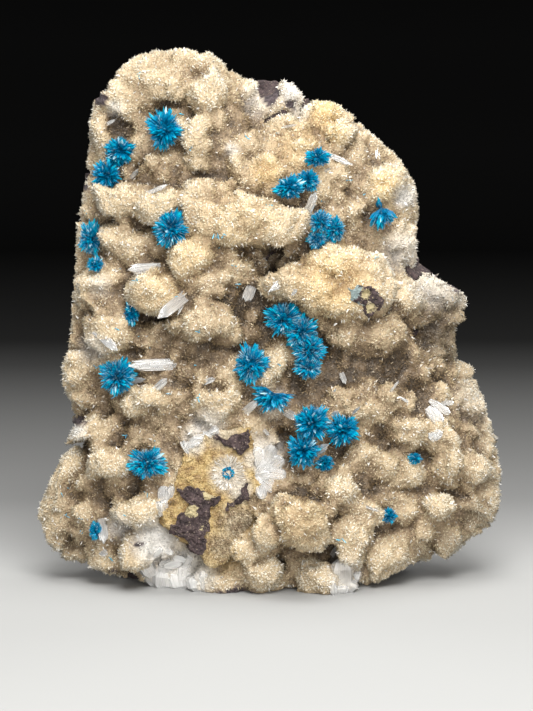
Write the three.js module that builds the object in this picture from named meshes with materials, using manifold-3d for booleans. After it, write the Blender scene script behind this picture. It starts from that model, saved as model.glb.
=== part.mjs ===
// A cavansite specimen: blue rosettes and white stilbite blades on a drusy crust over broken basalt.
//
// Everything is shaped in the frame of the crystal face: x to the right, y up the face, z out of it.
// The face leans back by LEAN, so the finished solids are turned upright at the end, +Z up with the
// face towards -Y, and the underside is cut flat at z = 0.
import * as THREE from 'three';
import { mergeVertices } from 'three/addons/utils/BufferGeometryUtils.js';
import Module from 'manifold-3d';

const wasm = await Module();
wasm.setup();

// ---------------------------------------------------------------- driving dimensions (mm)
const HEIGHT = 120; // top of the crown above the cut base
const GRID_ROWS = 545; // survey grid rows over that height
const CELL = HEIGHT / GRID_ROWS; // side of one cell of the survey grid
const MID_COL = 266; // grid column of the middle of the face
const BASE_ROW = 594; // grid row of the foot of the face
const LEAN = THREE.MathUtils.degToRad(8); // the face leans back from upright
const SEAT_GAP = 0.3; // clearance between pieces that grew on each other
const HOST_GAP = 0.65; // the host is grown this far along its rings, at least SEAT_GAP square to its faces
const FACE_TO_WORLD = new THREE.Matrix4().makeRotationX(Math.PI / 2 - LEAN);
const CLEAR = HEIGHT; // farther out of the face than any piece reaches
const WELD = 1e-4; // vertices closer than this are one (mm)

// Places on the face are given in survey grid cells: columns count to the right, rows count down.
const gridX = (col) => (col - MID_COL) * CELL;
const gridY = (row) => (BASE_ROW - row) * CELL;

// ---------------------------------------------------------------- outlines, clockwise on the grid
const CRUST_OUTLINE = [
  [58, 556], [38, 508], [70, 432], [60, 384], [72, 318], [78, 212], [90, 125], [122, 62], [172, 47],
  [218, 54], [250, 98], [286, 106], [328, 99], [376, 138], [416, 188], [418, 245], [436, 280],
  [468, 302], [458, 350], [490, 416], [502, 480], [484, 536], [404, 572], [330, 602], [200, 602],
  [110, 576],
];
const HOST_OUTLINE = [
  [96, 566], [66, 520], [80, 440], [84, 330], [94, 190], [93, 112], [128, 74], [180, 66],
  [236, 78], [286, 79], [302, 92], [350, 128], [402, 176], [421, 232], [452, 276], [450, 330],
  [468, 400], [480, 480], [452, 540], [392, 588], [330, 612], [200, 612], [138, 596],
];

// Each ring of a loft is [share of the way in to the spine, distance out of the face].
const CRUST_RINGS = [[0.13, -24], [0.06, -14], [0.17, -6], [0.46, 0], [0.76, 2]];
const HOST_RINGS = [[0.6, -39], [0.3, -37], [0.08, -30], [0, -22], [0.1, -15], [0.4, -10], [0.6, -9]];
const HOST_BREAK = 2.6; // most that a corner of the broken rock lies off its smooth outline
const SPINE = { low: gridY(470), high: gridY(170), foot: gridX(275), head: gridX(235) };
const BACK = -40; // the back of the slab, which stays flat
const SETBACK_START = 0.35; // share of the height above which the face falls back
const TOP_SETBACK = 11; // how far the head of the face falls back
const RIGHT_SETBACK = 7; // how far the right edge falls back
const RIGHT_EDGE = gridX(500);
const HOST_SEED = 11;

// ---------------------------------------------------------------- lumps and pits of the crust
// Lump: [column, row, half width, half height (cells), centre out of the core (mm)]
const LUMPS = [
  // crown and upper left
  [170, 80, 50, 32, -1], [130, 106, 18, 20, 1], [203, 92, 16, 14, 2], [106, 140, 13, 34, 0],
  [198, 142, 15, 28, 1], [156, 168, 20, 16, 0], [122, 200, 25, 18, 3], [160, 207, 25, 18, 3],
  [205, 191, 22, 12, 3],
  // the overhanging ledge and the upper right
  [236, 221, 48, 24, 5], [280, 228, 24, 18, 4], [250, 172, 24, 18, -1], [325, 111, 20, 14, 0],
  [337, 132, 15, 14, 1], [380, 186, 18, 16, 0], [392, 232, 18, 22, -1],
  // the big mound and the right shoulder
  [340, 285, 50, 33, 4], [292, 283, 32, 17, 3], [404, 300, 14, 18, 1], [440, 292, 27, 24, 0],
  [360, 336, 32, 16, 0],
  // left flank
  [124, 246, 22, 19, 2], [190, 258, 23, 20, 4], [155, 293, 26, 22, 3], [206, 285, 21, 15, 3],
  [232, 270, 20, 26, 0], [108, 282, 22, 22, 1], [112, 333, 25, 26, 2], [203, 322, 32, 20, 2],
  [86, 370, 21, 17, 1], [150, 398, 24, 17, 0], [272, 362, 16, 17, 1], [100, 430, 26, 15, 1],
  // low left
  [112, 464, 20, 15, 2], [60, 507, 20, 20, 0], [62, 537, 18, 17, 0], [136, 552, 18, 17, 4],
  [140, 513, 22, 14, 2], [106, 559, 22, 14, 2],
  // low middle
  [300, 521, 28, 24, 5], [270, 531, 17, 16, 3], [264, 566, 19, 17, 3], [244, 542, 15, 15, 2],
  [341, 492, 17, 20, 2], [352, 538, 20, 18, 3], [320, 574, 27, 17, 3], [386, 560, 26, 20, 2],
  [222, 578, 24, 15, 2],
  // low right
  [440, 508, 15, 15, 2], [470, 468, 16, 16, 1], [448, 462, 15, 15, 2], [484, 490, 14, 20, 0],
  [446, 538, 19, 16, 1], [436, 432, 16, 18, 1],
  // broad low swells between them
  [212, 396, 30, 22, -1], [370, 400, 32, 26, -1], [402, 430, 24, 20, 0], [404, 342, 14, 17, 1],
  [334, 410, 24, 18, -1], [362, 502, 18, 16, 1],
];
// Pit: [column, row, half width, half height (cells), depth (mm)]
const PITS = [
  [277, 259, 27, 12, 9], [149, 318, 13, 6, 5], [296, 549, 34, 7, 6], [430, 338, 25, 17, 4],
];
const LUMP_SPREAD = 1.18; // lumps run into each other below their crests
const LUMP_SUNK = 0.9; // (mm)
// Ball of a lump above a radius (mm), drawn slightly oversize to make up for its flat facets.
const BALLS = [
  { above: 8, oversize: 1.02, make: (radius) => new THREE.IcosahedronGeometry(radius, 1) },
  { above: 6.2, oversize: 1.05, make: (radius) => new THREE.DodecahedronGeometry(radius) },
  { above: 0, oversize: 1.1, make: (radius) => new THREE.IcosahedronGeometry(radius) },
];
const BALL_TURN = { x: 1.7, y: 1.3 }; // turn of a ball with its place, so that no two look alike (rad/mm)
const DEEPEST_LUMP = 7.5; // most that a lump measures from its centre out of the face (mm)
const RIM_LUMP = 6.4; // radius of the lumps that roll over the rim of the crust
const RIM_SPACING = 14; // distance between them along the outline
const RIM_SIZES = [0.82, 1.12]; // their least and greatest size, as shares of RIM_LUMP
const RIM_DEPTH = -15; // where they sit behind the face
const RIM_WANDER = 5; // how much that depth varies
const RIM_TENSION = 0.2; // how tautly their curve follows the corners of the outline
const RIM_AIM = gridY(330); // height of the place that they are drawn in towards
const RIM_SEED = 5;
const RIM_BARE = [[232, 310, 70, 120], [414, 470, 215, 304]]; // column and row ranges left bare

// ---------------------------------------------------------------- pieces that grew on the crust
// Rosette: balls of spikes that grew together, each [column, row, half width, half height (cells)]
const ROSETTES = [
  [[165, 131, 17, 18]],
  [[121, 153, 14, 14], [108, 176, 14, 15]],
  [[172, 230, 15, 17]],
  [[92, 239, 11, 15]],
  [[96, 265, 7, 7]],
  [[132, 313, 8, 11]],
  [[118, 377, 16, 16]],
  [[148, 463, 17, 13]],
  [[96, 530, 7, 8]],
  [[318, 158, 12, 9]],
  [[288, 187, 13, 12], [308, 183, 11, 10]],
  [[320, 222, 10, 10], [333, 230, 11, 11], [318, 240, 9, 8]],
  [[381, 217, 12, 14]],
  [[285, 319, 14, 13], [300, 333, 14, 14], [309, 348, 13, 13], [307, 366, 14, 12]],
  [[251, 364, 14, 17]],
  [[275, 394, 18, 13]],
  [[312, 423, 16, 16]],
  [[343, 430, 14, 14]],
  [[304, 452, 15, 15], [322, 462, 9, 8]],
  [[388, 515, 9, 8]],
  [[415, 458, 7, 6]],
  [[229, 472, 8, 8]],
];
// Blade: [root column, root row, tip column, tip row, width (cells), rise of the tip (mm)]
const BLADES = [
  [160, 268, 127, 270, 12, 2], [185, 296, 159, 319, 13, 4],
  [252, 286, 245, 303, 12, 5], [178, 364, 127, 366, 13, 2],
  [155, 390, 168, 378, 8, 2], [96, 331, 119, 351, 10, 2],
  [320, 151, 354, 164, 6, 2], [308, 211, 316, 192, 9, 3],
  [302, 267, 268, 293, 9, 2],
  [243, 414, 258, 400, 9, 2], [284, 411, 298, 419, 9, 2], [309, 456, 329, 443, 9, 6],
  [102, 518, 104, 545, 11, 3], [438, 441, 428, 433, 9, 2],
];
// Cluster: crystals that grew together, each [root column, root row, tip column, tip row, width, rise]
const CLUSTERS = {
  low_left: [
    [165, 548, 152, 526, 16, 5], [170, 560, 146, 556, 16, 4], [180, 565, 186, 543, 18, 6],
    [175, 572, 164, 589, 17, 5], [186, 572, 205, 584, 18, 6],
  ],
  right_of_plate: [
    [258, 478, 256, 448, 13, 4], [258, 478, 272, 452, 14, 5], [258, 478, 284, 466, 14, 5],
    [260, 480, 283, 482, 14, 5], [258, 482, 272, 497, 13, 4],
  ],
  foot: [[345, 585, 345, 560, 15, 4], [342, 586, 328, 577, 14, 3], [348, 586, 360, 574, 14, 3]],
  left_block: [[166, 518, 162, 486, 16, 4], [170, 512, 176, 492, 11, 3]],
  crest: [[206, 444, 214, 428, 12, 3], [205, 446, 195, 432, 10, 3]],
  book: [[438, 424, 430, 402, 14, 4], [441, 426, 446, 403, 14, 3], [444, 428, 455, 414, 10, 2]],
};
// The bare plate and the scabs of rock, as outlines clockwise on the grid
const PLATE = [
  [186, 455], [200, 437], [230, 431], [248, 428], [253, 470], [255, 490], [244, 505], [246, 522],
  [235, 542], [222, 560], [203, 564], [200, 545], [180, 540], [165, 520], [161, 505], [180, 484],
];
const PLATE_MIDDLE = [208, 500];
const PLATE_THICK = 3.2;
const PLATE_PROUD = 1;
const SCAB_THICK = 1.4;
const SCABS = {
  plate_main: [
    [174, 488], [188, 489], [204, 492], [222, 496], [217, 506], [208, 508], [209, 519], [214, 526],
    [204, 532], [207, 546], [203, 555], [190, 550], [184, 540], [170, 530], [178, 518], [189, 505],
  ],
  plate_top: [[212, 439], [225, 437], [237, 433], [250, 431], [250, 450], [240, 451], [231, 445]],
  plate_right: [[245, 483], [252, 495], [243, 501], [228, 506], [238, 497]],
  mound: [[349, 291], [358, 286], [372, 288], [381, 298], [379, 309], [366, 315], [354, 310], [352, 300]],
};

// ---------------------------------------------------------------- habits of the crystals
const SPIKE_FOOT = 0.68; // radius where the spikes of a ball begin, as a share of its radius
const SPIKE_TIPS = [0.98, 1.12]; // the same where they end, for the shortest and the longest
const ROSETTE_TURN = 6; // most that a ball is turned about an axis (rad)
const ROSETTE_SEED = 100;
const SMALL_ROSETTE = 2.4; // radius below which a ball has fewer spikes (mm)
const ROSETTE_PROUD = 0.5; // centre of a ball above the crust, as a share of its radius
const NECK = 0.75; // radius of the neck between two balls, as a share of the smaller one
const FEET_MEET = 0.95; // share of their feet's reach within which two balls need no neck
const ROOT_DEPTH = 0.8; // how deep the root of a blade starts below the crust (mm)
const STEEPEST = 0.6; // most that the ground may lift a tip, as a share of the blade's length
const CLEARED_AT = [0.4, 0.7, 1]; // places along a blade where it clears the ground
const POINT_BY_WIDTH = 0.7; // length of a blade's point, as a share of its width
const POINT_BY_LENGTH = 0.4; // most of the blade's length that the point takes
const BLADE_THICK = 0.4; // thickness of a blade, as a share of its width
const CLUSTER_THICK = 0.55; // the same for a crystal of a cluster

const LOOKS = {
  basalt: { color: 0x4d4244, roughness: 0.9, metalness: 0 },
  crust: { color: 0xcdbb96, roughness: 0.75, metalness: 0 },
  ochre: { color: 0xd3b070, roughness: 0.7, metalness: 0 },
  cavansite: { color: 0x0f7fb8, roughness: 0.35, metalness: 0 },
  stilbite: { color: 0xe4e4df, roughness: 0.25, metalness: 0 },
};

// ---------------------------------------------------------------- small tools
function seededRandom(seed) {
  let state = seed;
  return () => {
    state = (Math.imul(state, 1664525) + 1013904223) >>> 0;
    return state / 4294967296;
  };
}

const between = (random, [low, high]) => low + (high - low) * random();

function toSolid(geometry) {
  const bare = geometry.clone();
  bare.deleteAttribute('normal');
  bare.deleteAttribute('uv');
  const merged = mergeVertices(bare, WELD);
  const mesh = new wasm.Mesh({
    numProp: 3,
    vertProperties: new Float32Array(merged.attributes.position.array),
    triVerts: new Uint32Array(merged.index.array),
  });
  return new wasm.Manifold(mesh);
}

function toGeometry(solid) {
  const mesh = solid.getMesh();
  const geometry = new THREE.BufferGeometry();
  geometry.setAttribute('position', new THREE.BufferAttribute(new Float32Array(mesh.vertProperties), 3));
  geometry.setIndex(new THREE.BufferAttribute(new Uint32Array(mesh.triVerts), 1));
  return geometry;
}

const join = (solids) => solids.reduce((whole, next) => whole.add(next));

// Keeps the biggest connected body of a geometry and drops the crumbs that a cut leaves beside it.
function biggestBody(geometry) {
  const merged = mergeVertices(geometry, WELD);
  const index = merged.index.array;
  const parent = Array.from({ length: merged.attributes.position.count }, (_, i) => i);
  const find = (i) => {
    while (parent[i] !== i) i = parent[i];
    return i;
  };
  for (let t = 0; t < index.length; t += 3) {
    parent[find(index[t + 1])] = find(index[t]);
    parent[find(index[t + 2])] = find(index[t]);
  }
  const bodies = new Map();
  for (let t = 0; t < index.length; t += 3) {
    const root = find(index[t]);
    if (!bodies.has(root)) bodies.set(root, []);
    bodies.get(root).push(index[t], index[t + 1], index[t + 2]);
  }
  const biggest = [...bodies.values()].reduce((a, b) => (b.length > a.length ? b : a));
  const kept = merged.clone();
  kept.setIndex(biggest);
  return mergeVertices(kept.toNonIndexed(), WELD);
}

// The point of a surface in front of a grid place, or a point as deep as the rim beside the surface.
function surfaceAt(mesh, col, row) {
  const from = new THREE.Vector3(gridX(col), gridY(row), CLEAR);
  const ray = new THREE.Raycaster(from, new THREE.Vector3(0, 0, -1));
  const hits = ray.intersectObject(mesh);
  return hits.length > 0 ? hits[0].point : from.setZ(fallenBack(from, RIM_DEPTH));
}

const BOTH_SIDES = new THREE.MeshBasicMaterial({ side: THREE.DoubleSide });
const asTarget = (geometry) => new THREE.Mesh(geometry, BOTH_SIDES);

// ---------------------------------------------------------------- crust and host
// A ring of an outline, drawn in towards the spine of the slab by a share of the way.
function outlineRing(outline, share, out, grow = 0) {
  return outline.map(([col, row]) => {
    const point = new THREE.Vector3(gridX(col), gridY(row), 0);
    const up = THREE.MathUtils.clamp(point.y, SPINE.low, SPINE.high);
    const along = (up - SPINE.low) / (SPINE.high - SPINE.low);
    const spine = new THREE.Vector3(THREE.MathUtils.lerp(SPINE.foot, SPINE.head, along), up, 0);
    const outward = point.clone().sub(spine).setLength(grow * (1 - share));
    const moved = point.lerp(spine, share).add(outward);
    moved.z = fallenBack(moved, out);
    return moved;
  });
}

// A depth `out` of the face once the head and the right edge have fallen back; the back stays put.
function fallenBack({ x, y }, out) {
  const up = Math.max(0, y / HEIGHT - SETBACK_START) / (1 - SETBACK_START);
  const right = Math.max(0, x / RIGHT_EDGE);
  const setback = TOP_SETBACK * up * up + RIGHT_SETBACK * right * right;
  return out - setback * (1 - out / BACK);
}

// Skins a stack of rings, from the back to the front, and closes both ends with a fan.
function loft(rings) {
  const count = rings[0].length;
  const centre = (ring) => ring.reduce((sum, p) => sum.add(p), new THREE.Vector3()).divideScalar(count);
  const points = [...rings.flat(), centre(rings[0]), centre(rings.at(-1))];
  const back = rings.length * count;
  const front = back + 1;
  const last = (rings.length - 1) * count;
  const index = [];
  for (let i = 0; i < count; i += 1) {
    const j = (i + 1) % count;
    for (let k = 0; k < rings.length - 1; k += 1) {
      const a = k * count + i;
      const b = k * count + j;
      index.push(a, a + count, b, b, a + count, b + count);
    }
    index.push(back, i, j, front, last + j, last + i);
  }
  const geometry = new THREE.BufferGeometry().setFromPoints(points);
  geometry.setIndex(index);
  return geometry;
}

// A faceted ball, its radii grown by `grow`: the bigger the ball, the more facets it has.
function ballSolid({ centre, radii }, grow = 0) {
  const size = (radii.x + radii.y) / 2;
  const { make, oversize } = BALLS.find(({ above }) => size > above);
  const geometry = make(oversize);
  geometry.rotateX(centre.x * BALL_TURN.x).rotateY(centre.y * BALL_TURN.y);
  geometry.scale(radii.x + grow, radii.y + grow, radii.z + grow);
  return toSolid(geometry.translate(centre.x, centre.y, centre.z));
}

function lumpBalls(core) {
  return LUMPS.map(([col, row, halfWidth, halfHeight, out]) => {
    const radii = new THREE.Vector3(halfWidth * CELL, halfHeight * CELL, 0).multiplyScalar(LUMP_SPREAD);
    radii.z = Math.min((radii.x + radii.y) / 2, DEEPEST_LUMP);
    const centre = surfaceAt(core, col, row);
    centre.z += out - LUMP_SUNK;
    return { centre, radii };
  });
}

function pitBalls(target) {
  return PITS.map(([col, row, halfWidth, halfHeight, depth]) => {
    const radii = new THREE.Vector3(halfWidth * CELL, halfHeight * CELL, depth);
    return { centre: surfaceAt(target, col, row), radii };
  });
}

function isBare(point) {
  const col = point.x / CELL + MID_COL;
  const row = BASE_ROW - point.y / CELL;
  return RIM_BARE.some(([c0, c1, r0, r1]) => col > c0 && col < c1 && row > r0 && row < r1);
}

// Balls that roll over the rim, evenly spaced along the outline, of uneven size.
function rimBalls() {
  const corners = outlineRing(CRUST_OUTLINE, 0, RIM_DEPTH);
  const curve = new THREE.CatmullRomCurve3(corners, true, 'catmullrom', RIM_TENSION);
  const count = Math.round(curve.getLength() / RIM_SPACING);
  const random = seededRandom(RIM_SEED);
  const balls = [];
  for (let i = 0; i < count; i += 1) {
    const at = curve.getPointAt(i / count);
    const radius = RIM_LUMP * between(random, RIM_SIZES);
    const inward = new THREE.Vector3(-at.x, RIM_AIM - at.y, 0).setLength(radius);
    const centre = at.clone().add(inward);
    centre.z += RIM_WANDER * (random() - 0.5);
    if (!isBare(at)) balls.push({ centre, radii: new THREE.Vector3(radius, radius, radius) });
  }
  return balls;
}

// Moves every edge of a clockwise outline outwards, with the sharp corners cut short.
function grownOutline(outline, by) {
  const leastMitre = 0.3;
  const points = outline.map(([col, row]) => new THREE.Vector2(gridX(col), gridY(row)));
  const outwards = (from, to) => new THREE.Vector2(from.y - to.y, to.x - from.x).normalize();
  return points.map((point, i) => {
    const before = outwards(points.at(i - 1), point);
    const after = outwards(point, points[(i + 1) % points.length]);
    const mitre = before.clone().add(after).normalize();
    return point.clone().addScaledVector(mitre, by / Math.max(leastMitre, mitre.dot(before)));
  });
}

// A flat piece with the given outline, from `back` to `front` out of the face.
function plateSolid(outline, back, front, grow = 0) {
  const shape = new THREE.Shape(grownOutline(outline, grow));
  const geometry = new THREE.ExtrudeGeometry(shape, { depth: front - back, bevelEnabled: false });
  return toSolid(geometry.translate(0, 0, back));
}

// The rings of an outline, grown outwards by `grow`: the first one is the back, which grows backwards.
function grownRings(outline, rings, grow) {
  return rings.map(([share, out], i) => outlineRing(outline, share, out + (i ? grow : -grow), grow));
}

const coreGeometry = (grow = 0) => loft(grownRings(CRUST_OUTLINE, CRUST_RINGS, grow));

// The host's corners are broken off its smooth outline, less and less towards the spine.
function hostSolid(grow = 0) {
  const random = seededRandom(HOST_SEED);
  const rings = grownRings(HOST_OUTLINE, HOST_RINGS, grow).map((ring, i) => {
    const [share] = HOST_RINGS[i];
    const shift = () => HOST_BREAK * (1 - share) * (2 * random() - 1);
    return ring.map((point) => point.add(new THREE.Vector3(shift(), shift(), shift())));
  });
  return toSolid(loft(rings));
}

// The lumps and pits of the crust, seated on its smooth core.
const coreTarget = asTarget(coreGeometry());
const lumps = [...lumpBalls(coreTarget), ...rimBalls()];
const pits = pitBalls(asTarget(toGeometry(lumpyBody(0))));

function lumpyBody(grow) {
  const core = toSolid(coreGeometry(grow));
  return join([core, ...lumps.map((lump) => ballSolid(lump, grow))]);
}

// The crust grown outwards by `grow`, before the host is taken out of it.
function crustBody(grow = 0) {
  return pits.reduce((left, pit) => left.subtract(ballSolid(pit, -grow)), lumpyBody(grow));
}

// ---------------------------------------------------------------- crystals
// A ball of spikes: a pyramid on each face of an icosahedron, or of an octahedron on a small ball.
function spikyBall({ centre, radii }, random) {
  const Foot = radii.z < SMALL_ROSETTE ? THREE.OctahedronGeometry : THREE.IcosahedronGeometry;
  const faces = new Foot(SPIKE_FOOT, 0).attributes.position;
  const points = [];
  for (let i = 0; i < faces.count; i += 3) {
    const [a, b, c] = [0, 1, 2].map((k) => new THREE.Vector3().fromBufferAttribute(faces, i + k));
    const tip = a.clone().add(b).add(c).normalize().multiplyScalar(between(random, SPIKE_TIPS));
    points.push(a, b, tip, b, c, tip, c, a, tip);
  }
  const geometry = new THREE.BufferGeometry().setFromPoints(points);
  geometry.rotateX(ROSETTE_TURN * random()).rotateY(ROSETTE_TURN * random());
  geometry.scale(radii.x, radii.y, radii.z);
  return toSolid(geometry.translate(centre.x, centre.y, centre.z));
}

// Where the balls of a rosette sit, and how big they are.
function rosetteBalls(balls, ground) {
  return balls.map(([col, row, halfWidth, halfHeight]) => {
    const radii = new THREE.Vector3(halfWidth * CELL, halfHeight * CELL, 0);
    radii.z = (radii.x + radii.y) / 2;
    const centre = surfaceAt(ground, col, row);
    centre.z += radii.z * ROSETTE_PROUD;
    return { centre, radii };
  });
}

// The neck where two neighbouring balls grew together, or null where the feet of their spikes meet.
function neckBall(one, next) {
  const reach = SPIKE_FOOT * FEET_MEET * (one.radii.z + next.radii.z);
  if (one.centre.distanceTo(next.centre) < reach) return null;
  const radius = NECK * Math.min(one.radii.z, next.radii.z);
  const centre = one.centre.clone().lerp(next.centre, 0.5);
  return { centre, radii: new THREE.Vector3(radius, radius, radius) };
}

// A tabular crystal with a pointed tip, from a root towards a tip, flat side out of the face.
function crystalSolid(root, tip, width, thick, grow = 0) {
  const length = root.distanceTo(tip) + grow;
  const half = width / 2 + grow;
  const shoulder = length - Math.min(width * POINT_BY_WIDTH, length * POINT_BY_LENGTH);
  const shape = new THREE.Shape([
    new THREE.Vector2(-half, -grow),
    new THREE.Vector2(half, -grow),
    new THREE.Vector2(half, shoulder),
    new THREE.Vector2(0, length),
    new THREE.Vector2(-half, shoulder),
  ]);
  const depth = thick + 2 * grow;
  const geometry = new THREE.ExtrudeGeometry(shape, { depth, bevelEnabled: false });
  geometry.translate(0, 0, -depth / 2);
  const along = tip.clone().sub(root).normalize();
  const side = new THREE.Vector3().crossVectors(along, new THREE.Vector3(0, 0, 1)).normalize();
  const flat = new THREE.Vector3().crossVectors(side, along);
  geometry.applyMatrix4(new THREE.Matrix4().makeBasis(side, along, flat));
  return toSolid(geometry.translate(root.x, root.y, root.z));
}

// Root and tip of a blade: the tip is lifted until the blade clears the ground below it.
function bladeEnds([rootCol, rootRow, tipCol, tipRow, width, rise], ground) {
  const root = surfaceAt(ground, rootCol, rootRow);
  root.z -= ROOT_DEPTH;
  const length = Math.hypot(tipCol - rootCol, tipRow - rootRow) * CELL;
  let lift = 0;
  for (const share of CLEARED_AT) {
    const col = THREE.MathUtils.lerp(rootCol, tipCol, share);
    const row = THREE.MathUtils.lerp(rootRow, tipRow, share);
    lift = Math.max(lift, (surfaceAt(ground, col, row).z - root.z) / share);
  }
  lift = Math.min(lift, length * STEEPEST);
  const tip = new THREE.Vector3(gridX(tipCol), gridY(tipRow), root.z + lift + rise);
  return { root, tip, width: width * CELL };
}

// ---------------------------------------------------------------- the specimen
const WIDE = 4 * HEIGHT; // wider than the specimen every way
const belowBase = new THREE.BoxGeometry(WIDE, WIDE, HEIGHT).translate(0, 0, -HEIGHT / 2);
const baseBlock = toSolid(belowBase);
const specimen = new THREE.Group();

// Turns a solid upright, cuts it flat at the base and adds it as a named mesh.
function addPiece(name, solid, look) {
  const upright = toGeometry(solid).applyMatrix4(FACE_TO_WORLD);
  const cut = toGeometry(toSolid(upright).subtract(baseBlock));
  const geometry = biggestBody(cut);
  geometry.computeBoundingBox();
  const centre = geometry.boundingBox.getCenter(new THREE.Vector3());
  geometry.translate(-centre.x, -centre.y, -centre.z);
  geometry.computeVertexNormals();
  const mesh = new THREE.Mesh(geometry, new THREE.MeshStandardMaterial({ ...look, flatShading: true }));
  mesh.name = name;
  mesh.position.copy(centre);
  specimen.add(mesh);
}

const plateFront = surfaceAt(coreTarget, ...PLATE_MIDDLE).z + PLATE_PROUD;
const plateBack = plateFront - PLATE_THICK;

const recess = plateSolid(PLATE, plateBack - SEAT_GAP, CLEAR, SEAT_GAP);
const crust = crustBody().subtract(recess).subtract(hostSolid(HOST_GAP));
addPiece('basalt_host', hostSolid(), LOOKS.basalt);
addPiece('drusy_crust', crust, LOOKS.crust);
addPiece('contact_plate', plateSolid(PLATE, plateBack, plateFront), LOOKS.ochre);

// The crust and the plate on it, both grown outwards.
function grownGround(grow) {
  const open = crustBody(grow).subtract(plateSolid(PLATE, plateBack, CLEAR, -grow));
  return open.add(plateSolid(PLATE, plateBack, plateFront + grow, grow));
}

// Everything placed later is cut clear of what is already there.
let taken = grownGround(SEAT_GAP);
const ground = asTarget(toGeometry(crust.add(plateSolid(PLATE, plateBack, plateFront))));

function seated(solid, shadow) {
  const free = toSolid(biggestBody(toGeometry(solid.subtract(taken))));
  taken = taken.add(shadow);
  return free;
}

// A scab is a skin of rock inside its outline, as thick as the ground grown by SCAB_THICK.
const skin = grownGround(SEAT_GAP + SCAB_THICK);
for (const [name, outline] of Object.entries(SCABS)) {
  const through = (grow) => plateSolid(outline, plateBack, CLEAR, grow);
  const solid = seated(skin.intersect(through(0)), skin.intersect(through(SEAT_GAP)));
  addPiece(`basalt_scab_${name}`, solid, LOOKS.basalt);
}

for (const [name, crystals] of Object.entries(CLUSTERS)) {
  const grown = (grow) => join(crystals.map((crystal) => {
    const { root, tip, width } = bladeEnds(crystal, ground);
    return crystalSolid(root, tip, width, width * CLUSTER_THICK, grow);
  }));
  addPiece(`stilbite_cluster_${name}`, seated(grown(0), grown(SEAT_GAP)), LOOKS.stilbite);
}

ROSETTES.forEach((rosette, i) => {
  const random = seededRandom(ROSETTE_SEED + i);
  const balls = rosetteBalls(rosette, ground);
  const necks = balls.slice(1).map((next, k) => neckBall(balls[k], next)).filter(Boolean);
  const spiky = balls.map((one) => spikyBall(one, random));
  const solid = join([...spiky, ...necks.map((neck) => ballSolid(neck))]);
  const shadow = join([...balls, ...necks].map((one) => ballSolid(one, SEAT_GAP)));
  addPiece(`cavansite_${i + 1}`, seated(solid, shadow), LOOKS.cavansite);
});

BLADES.forEach((blade, i) => {
  const { root, tip, width } = bladeEnds(blade, ground);
  const grown = (grow) => crystalSolid(root, tip, width, width * BLADE_THICK, grow);
  addPiece(`stilbite_blade_${i + 1}`, seated(grown(0), grown(SEAT_GAP)), LOOKS.stilbite);
});

// The origin is the middle of the footprint, on the cut base.
const box = new THREE.Box3().setFromObject(specimen);
specimen.position.set(-(box.min.x + box.max.x) / 2, -(box.min.y + box.max.y) / 2, 0);

export default specimen;
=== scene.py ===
"""A cavansite specimen, dressed round its solids: blue rosettes and stilbite on a drusy crust over basalt.

Places on the crystal face are given as columns and rows of a survey grid. Columns count to the right and rows
count down, CELL apart. Lengths of crystals and lumps are in millimetres and are scaled by MM.
"""

import math

import bmesh
import bpy
import numpy as np
from mathutils import Matrix, Vector, noise
from mathutils.bvhtree import BVHTree


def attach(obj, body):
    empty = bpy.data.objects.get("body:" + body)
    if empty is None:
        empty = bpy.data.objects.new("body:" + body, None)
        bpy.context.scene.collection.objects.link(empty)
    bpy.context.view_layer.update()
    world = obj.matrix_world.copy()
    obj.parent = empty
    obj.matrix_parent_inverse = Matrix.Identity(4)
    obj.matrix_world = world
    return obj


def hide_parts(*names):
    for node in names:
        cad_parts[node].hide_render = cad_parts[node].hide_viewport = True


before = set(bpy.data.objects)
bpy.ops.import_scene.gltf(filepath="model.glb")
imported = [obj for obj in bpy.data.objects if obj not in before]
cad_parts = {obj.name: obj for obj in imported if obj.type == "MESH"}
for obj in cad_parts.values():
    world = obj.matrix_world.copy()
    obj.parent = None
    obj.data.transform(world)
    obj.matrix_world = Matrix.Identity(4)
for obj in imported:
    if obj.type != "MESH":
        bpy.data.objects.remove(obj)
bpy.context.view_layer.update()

# ---------------------------------------------------------------- the face frame
MM = 0.001
HEIGHT = 0.120
GRID_ROWS = 545
CELL = HEIGHT / GRID_ROWS
MID_COL = 266
BASE_ROW = 594
LEAN = math.radians(8)
FOOT_MIDDLE = (-1.06 * MM, -22.30 * MM)  # where the foot of the face's middle column lies on the base
ORIGIN = np.array((*FOOT_MIDDLE, 0.0))
RIGHT = np.array((1.0, 0.0, 0.0))
UP = np.array((0.0, math.sin(LEAN), math.cos(LEAN)))
OUT = np.array((0.0, -math.cos(LEAN), math.sin(LEAN)))


def on_face(col, row, out=0.0):
    """The point of the face frame at a place of the survey grid."""
    return ORIGIN + RIGHT * (col - MID_COL) * CELL + UP * (BASE_ROW - row) * CELL + OUT * out


CAMERA_DISTANCE = 0.9
IMAGE_WIDTH, IMAGE_HEIGHT = 533, 711
VIEW_COL, VIEW_ROW = IMAGE_WIDTH / 2, IMAGE_HEIGHT / 2
EYE = on_face(VIEW_COL, VIEW_ROW, CAMERA_DISTANCE)

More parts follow.
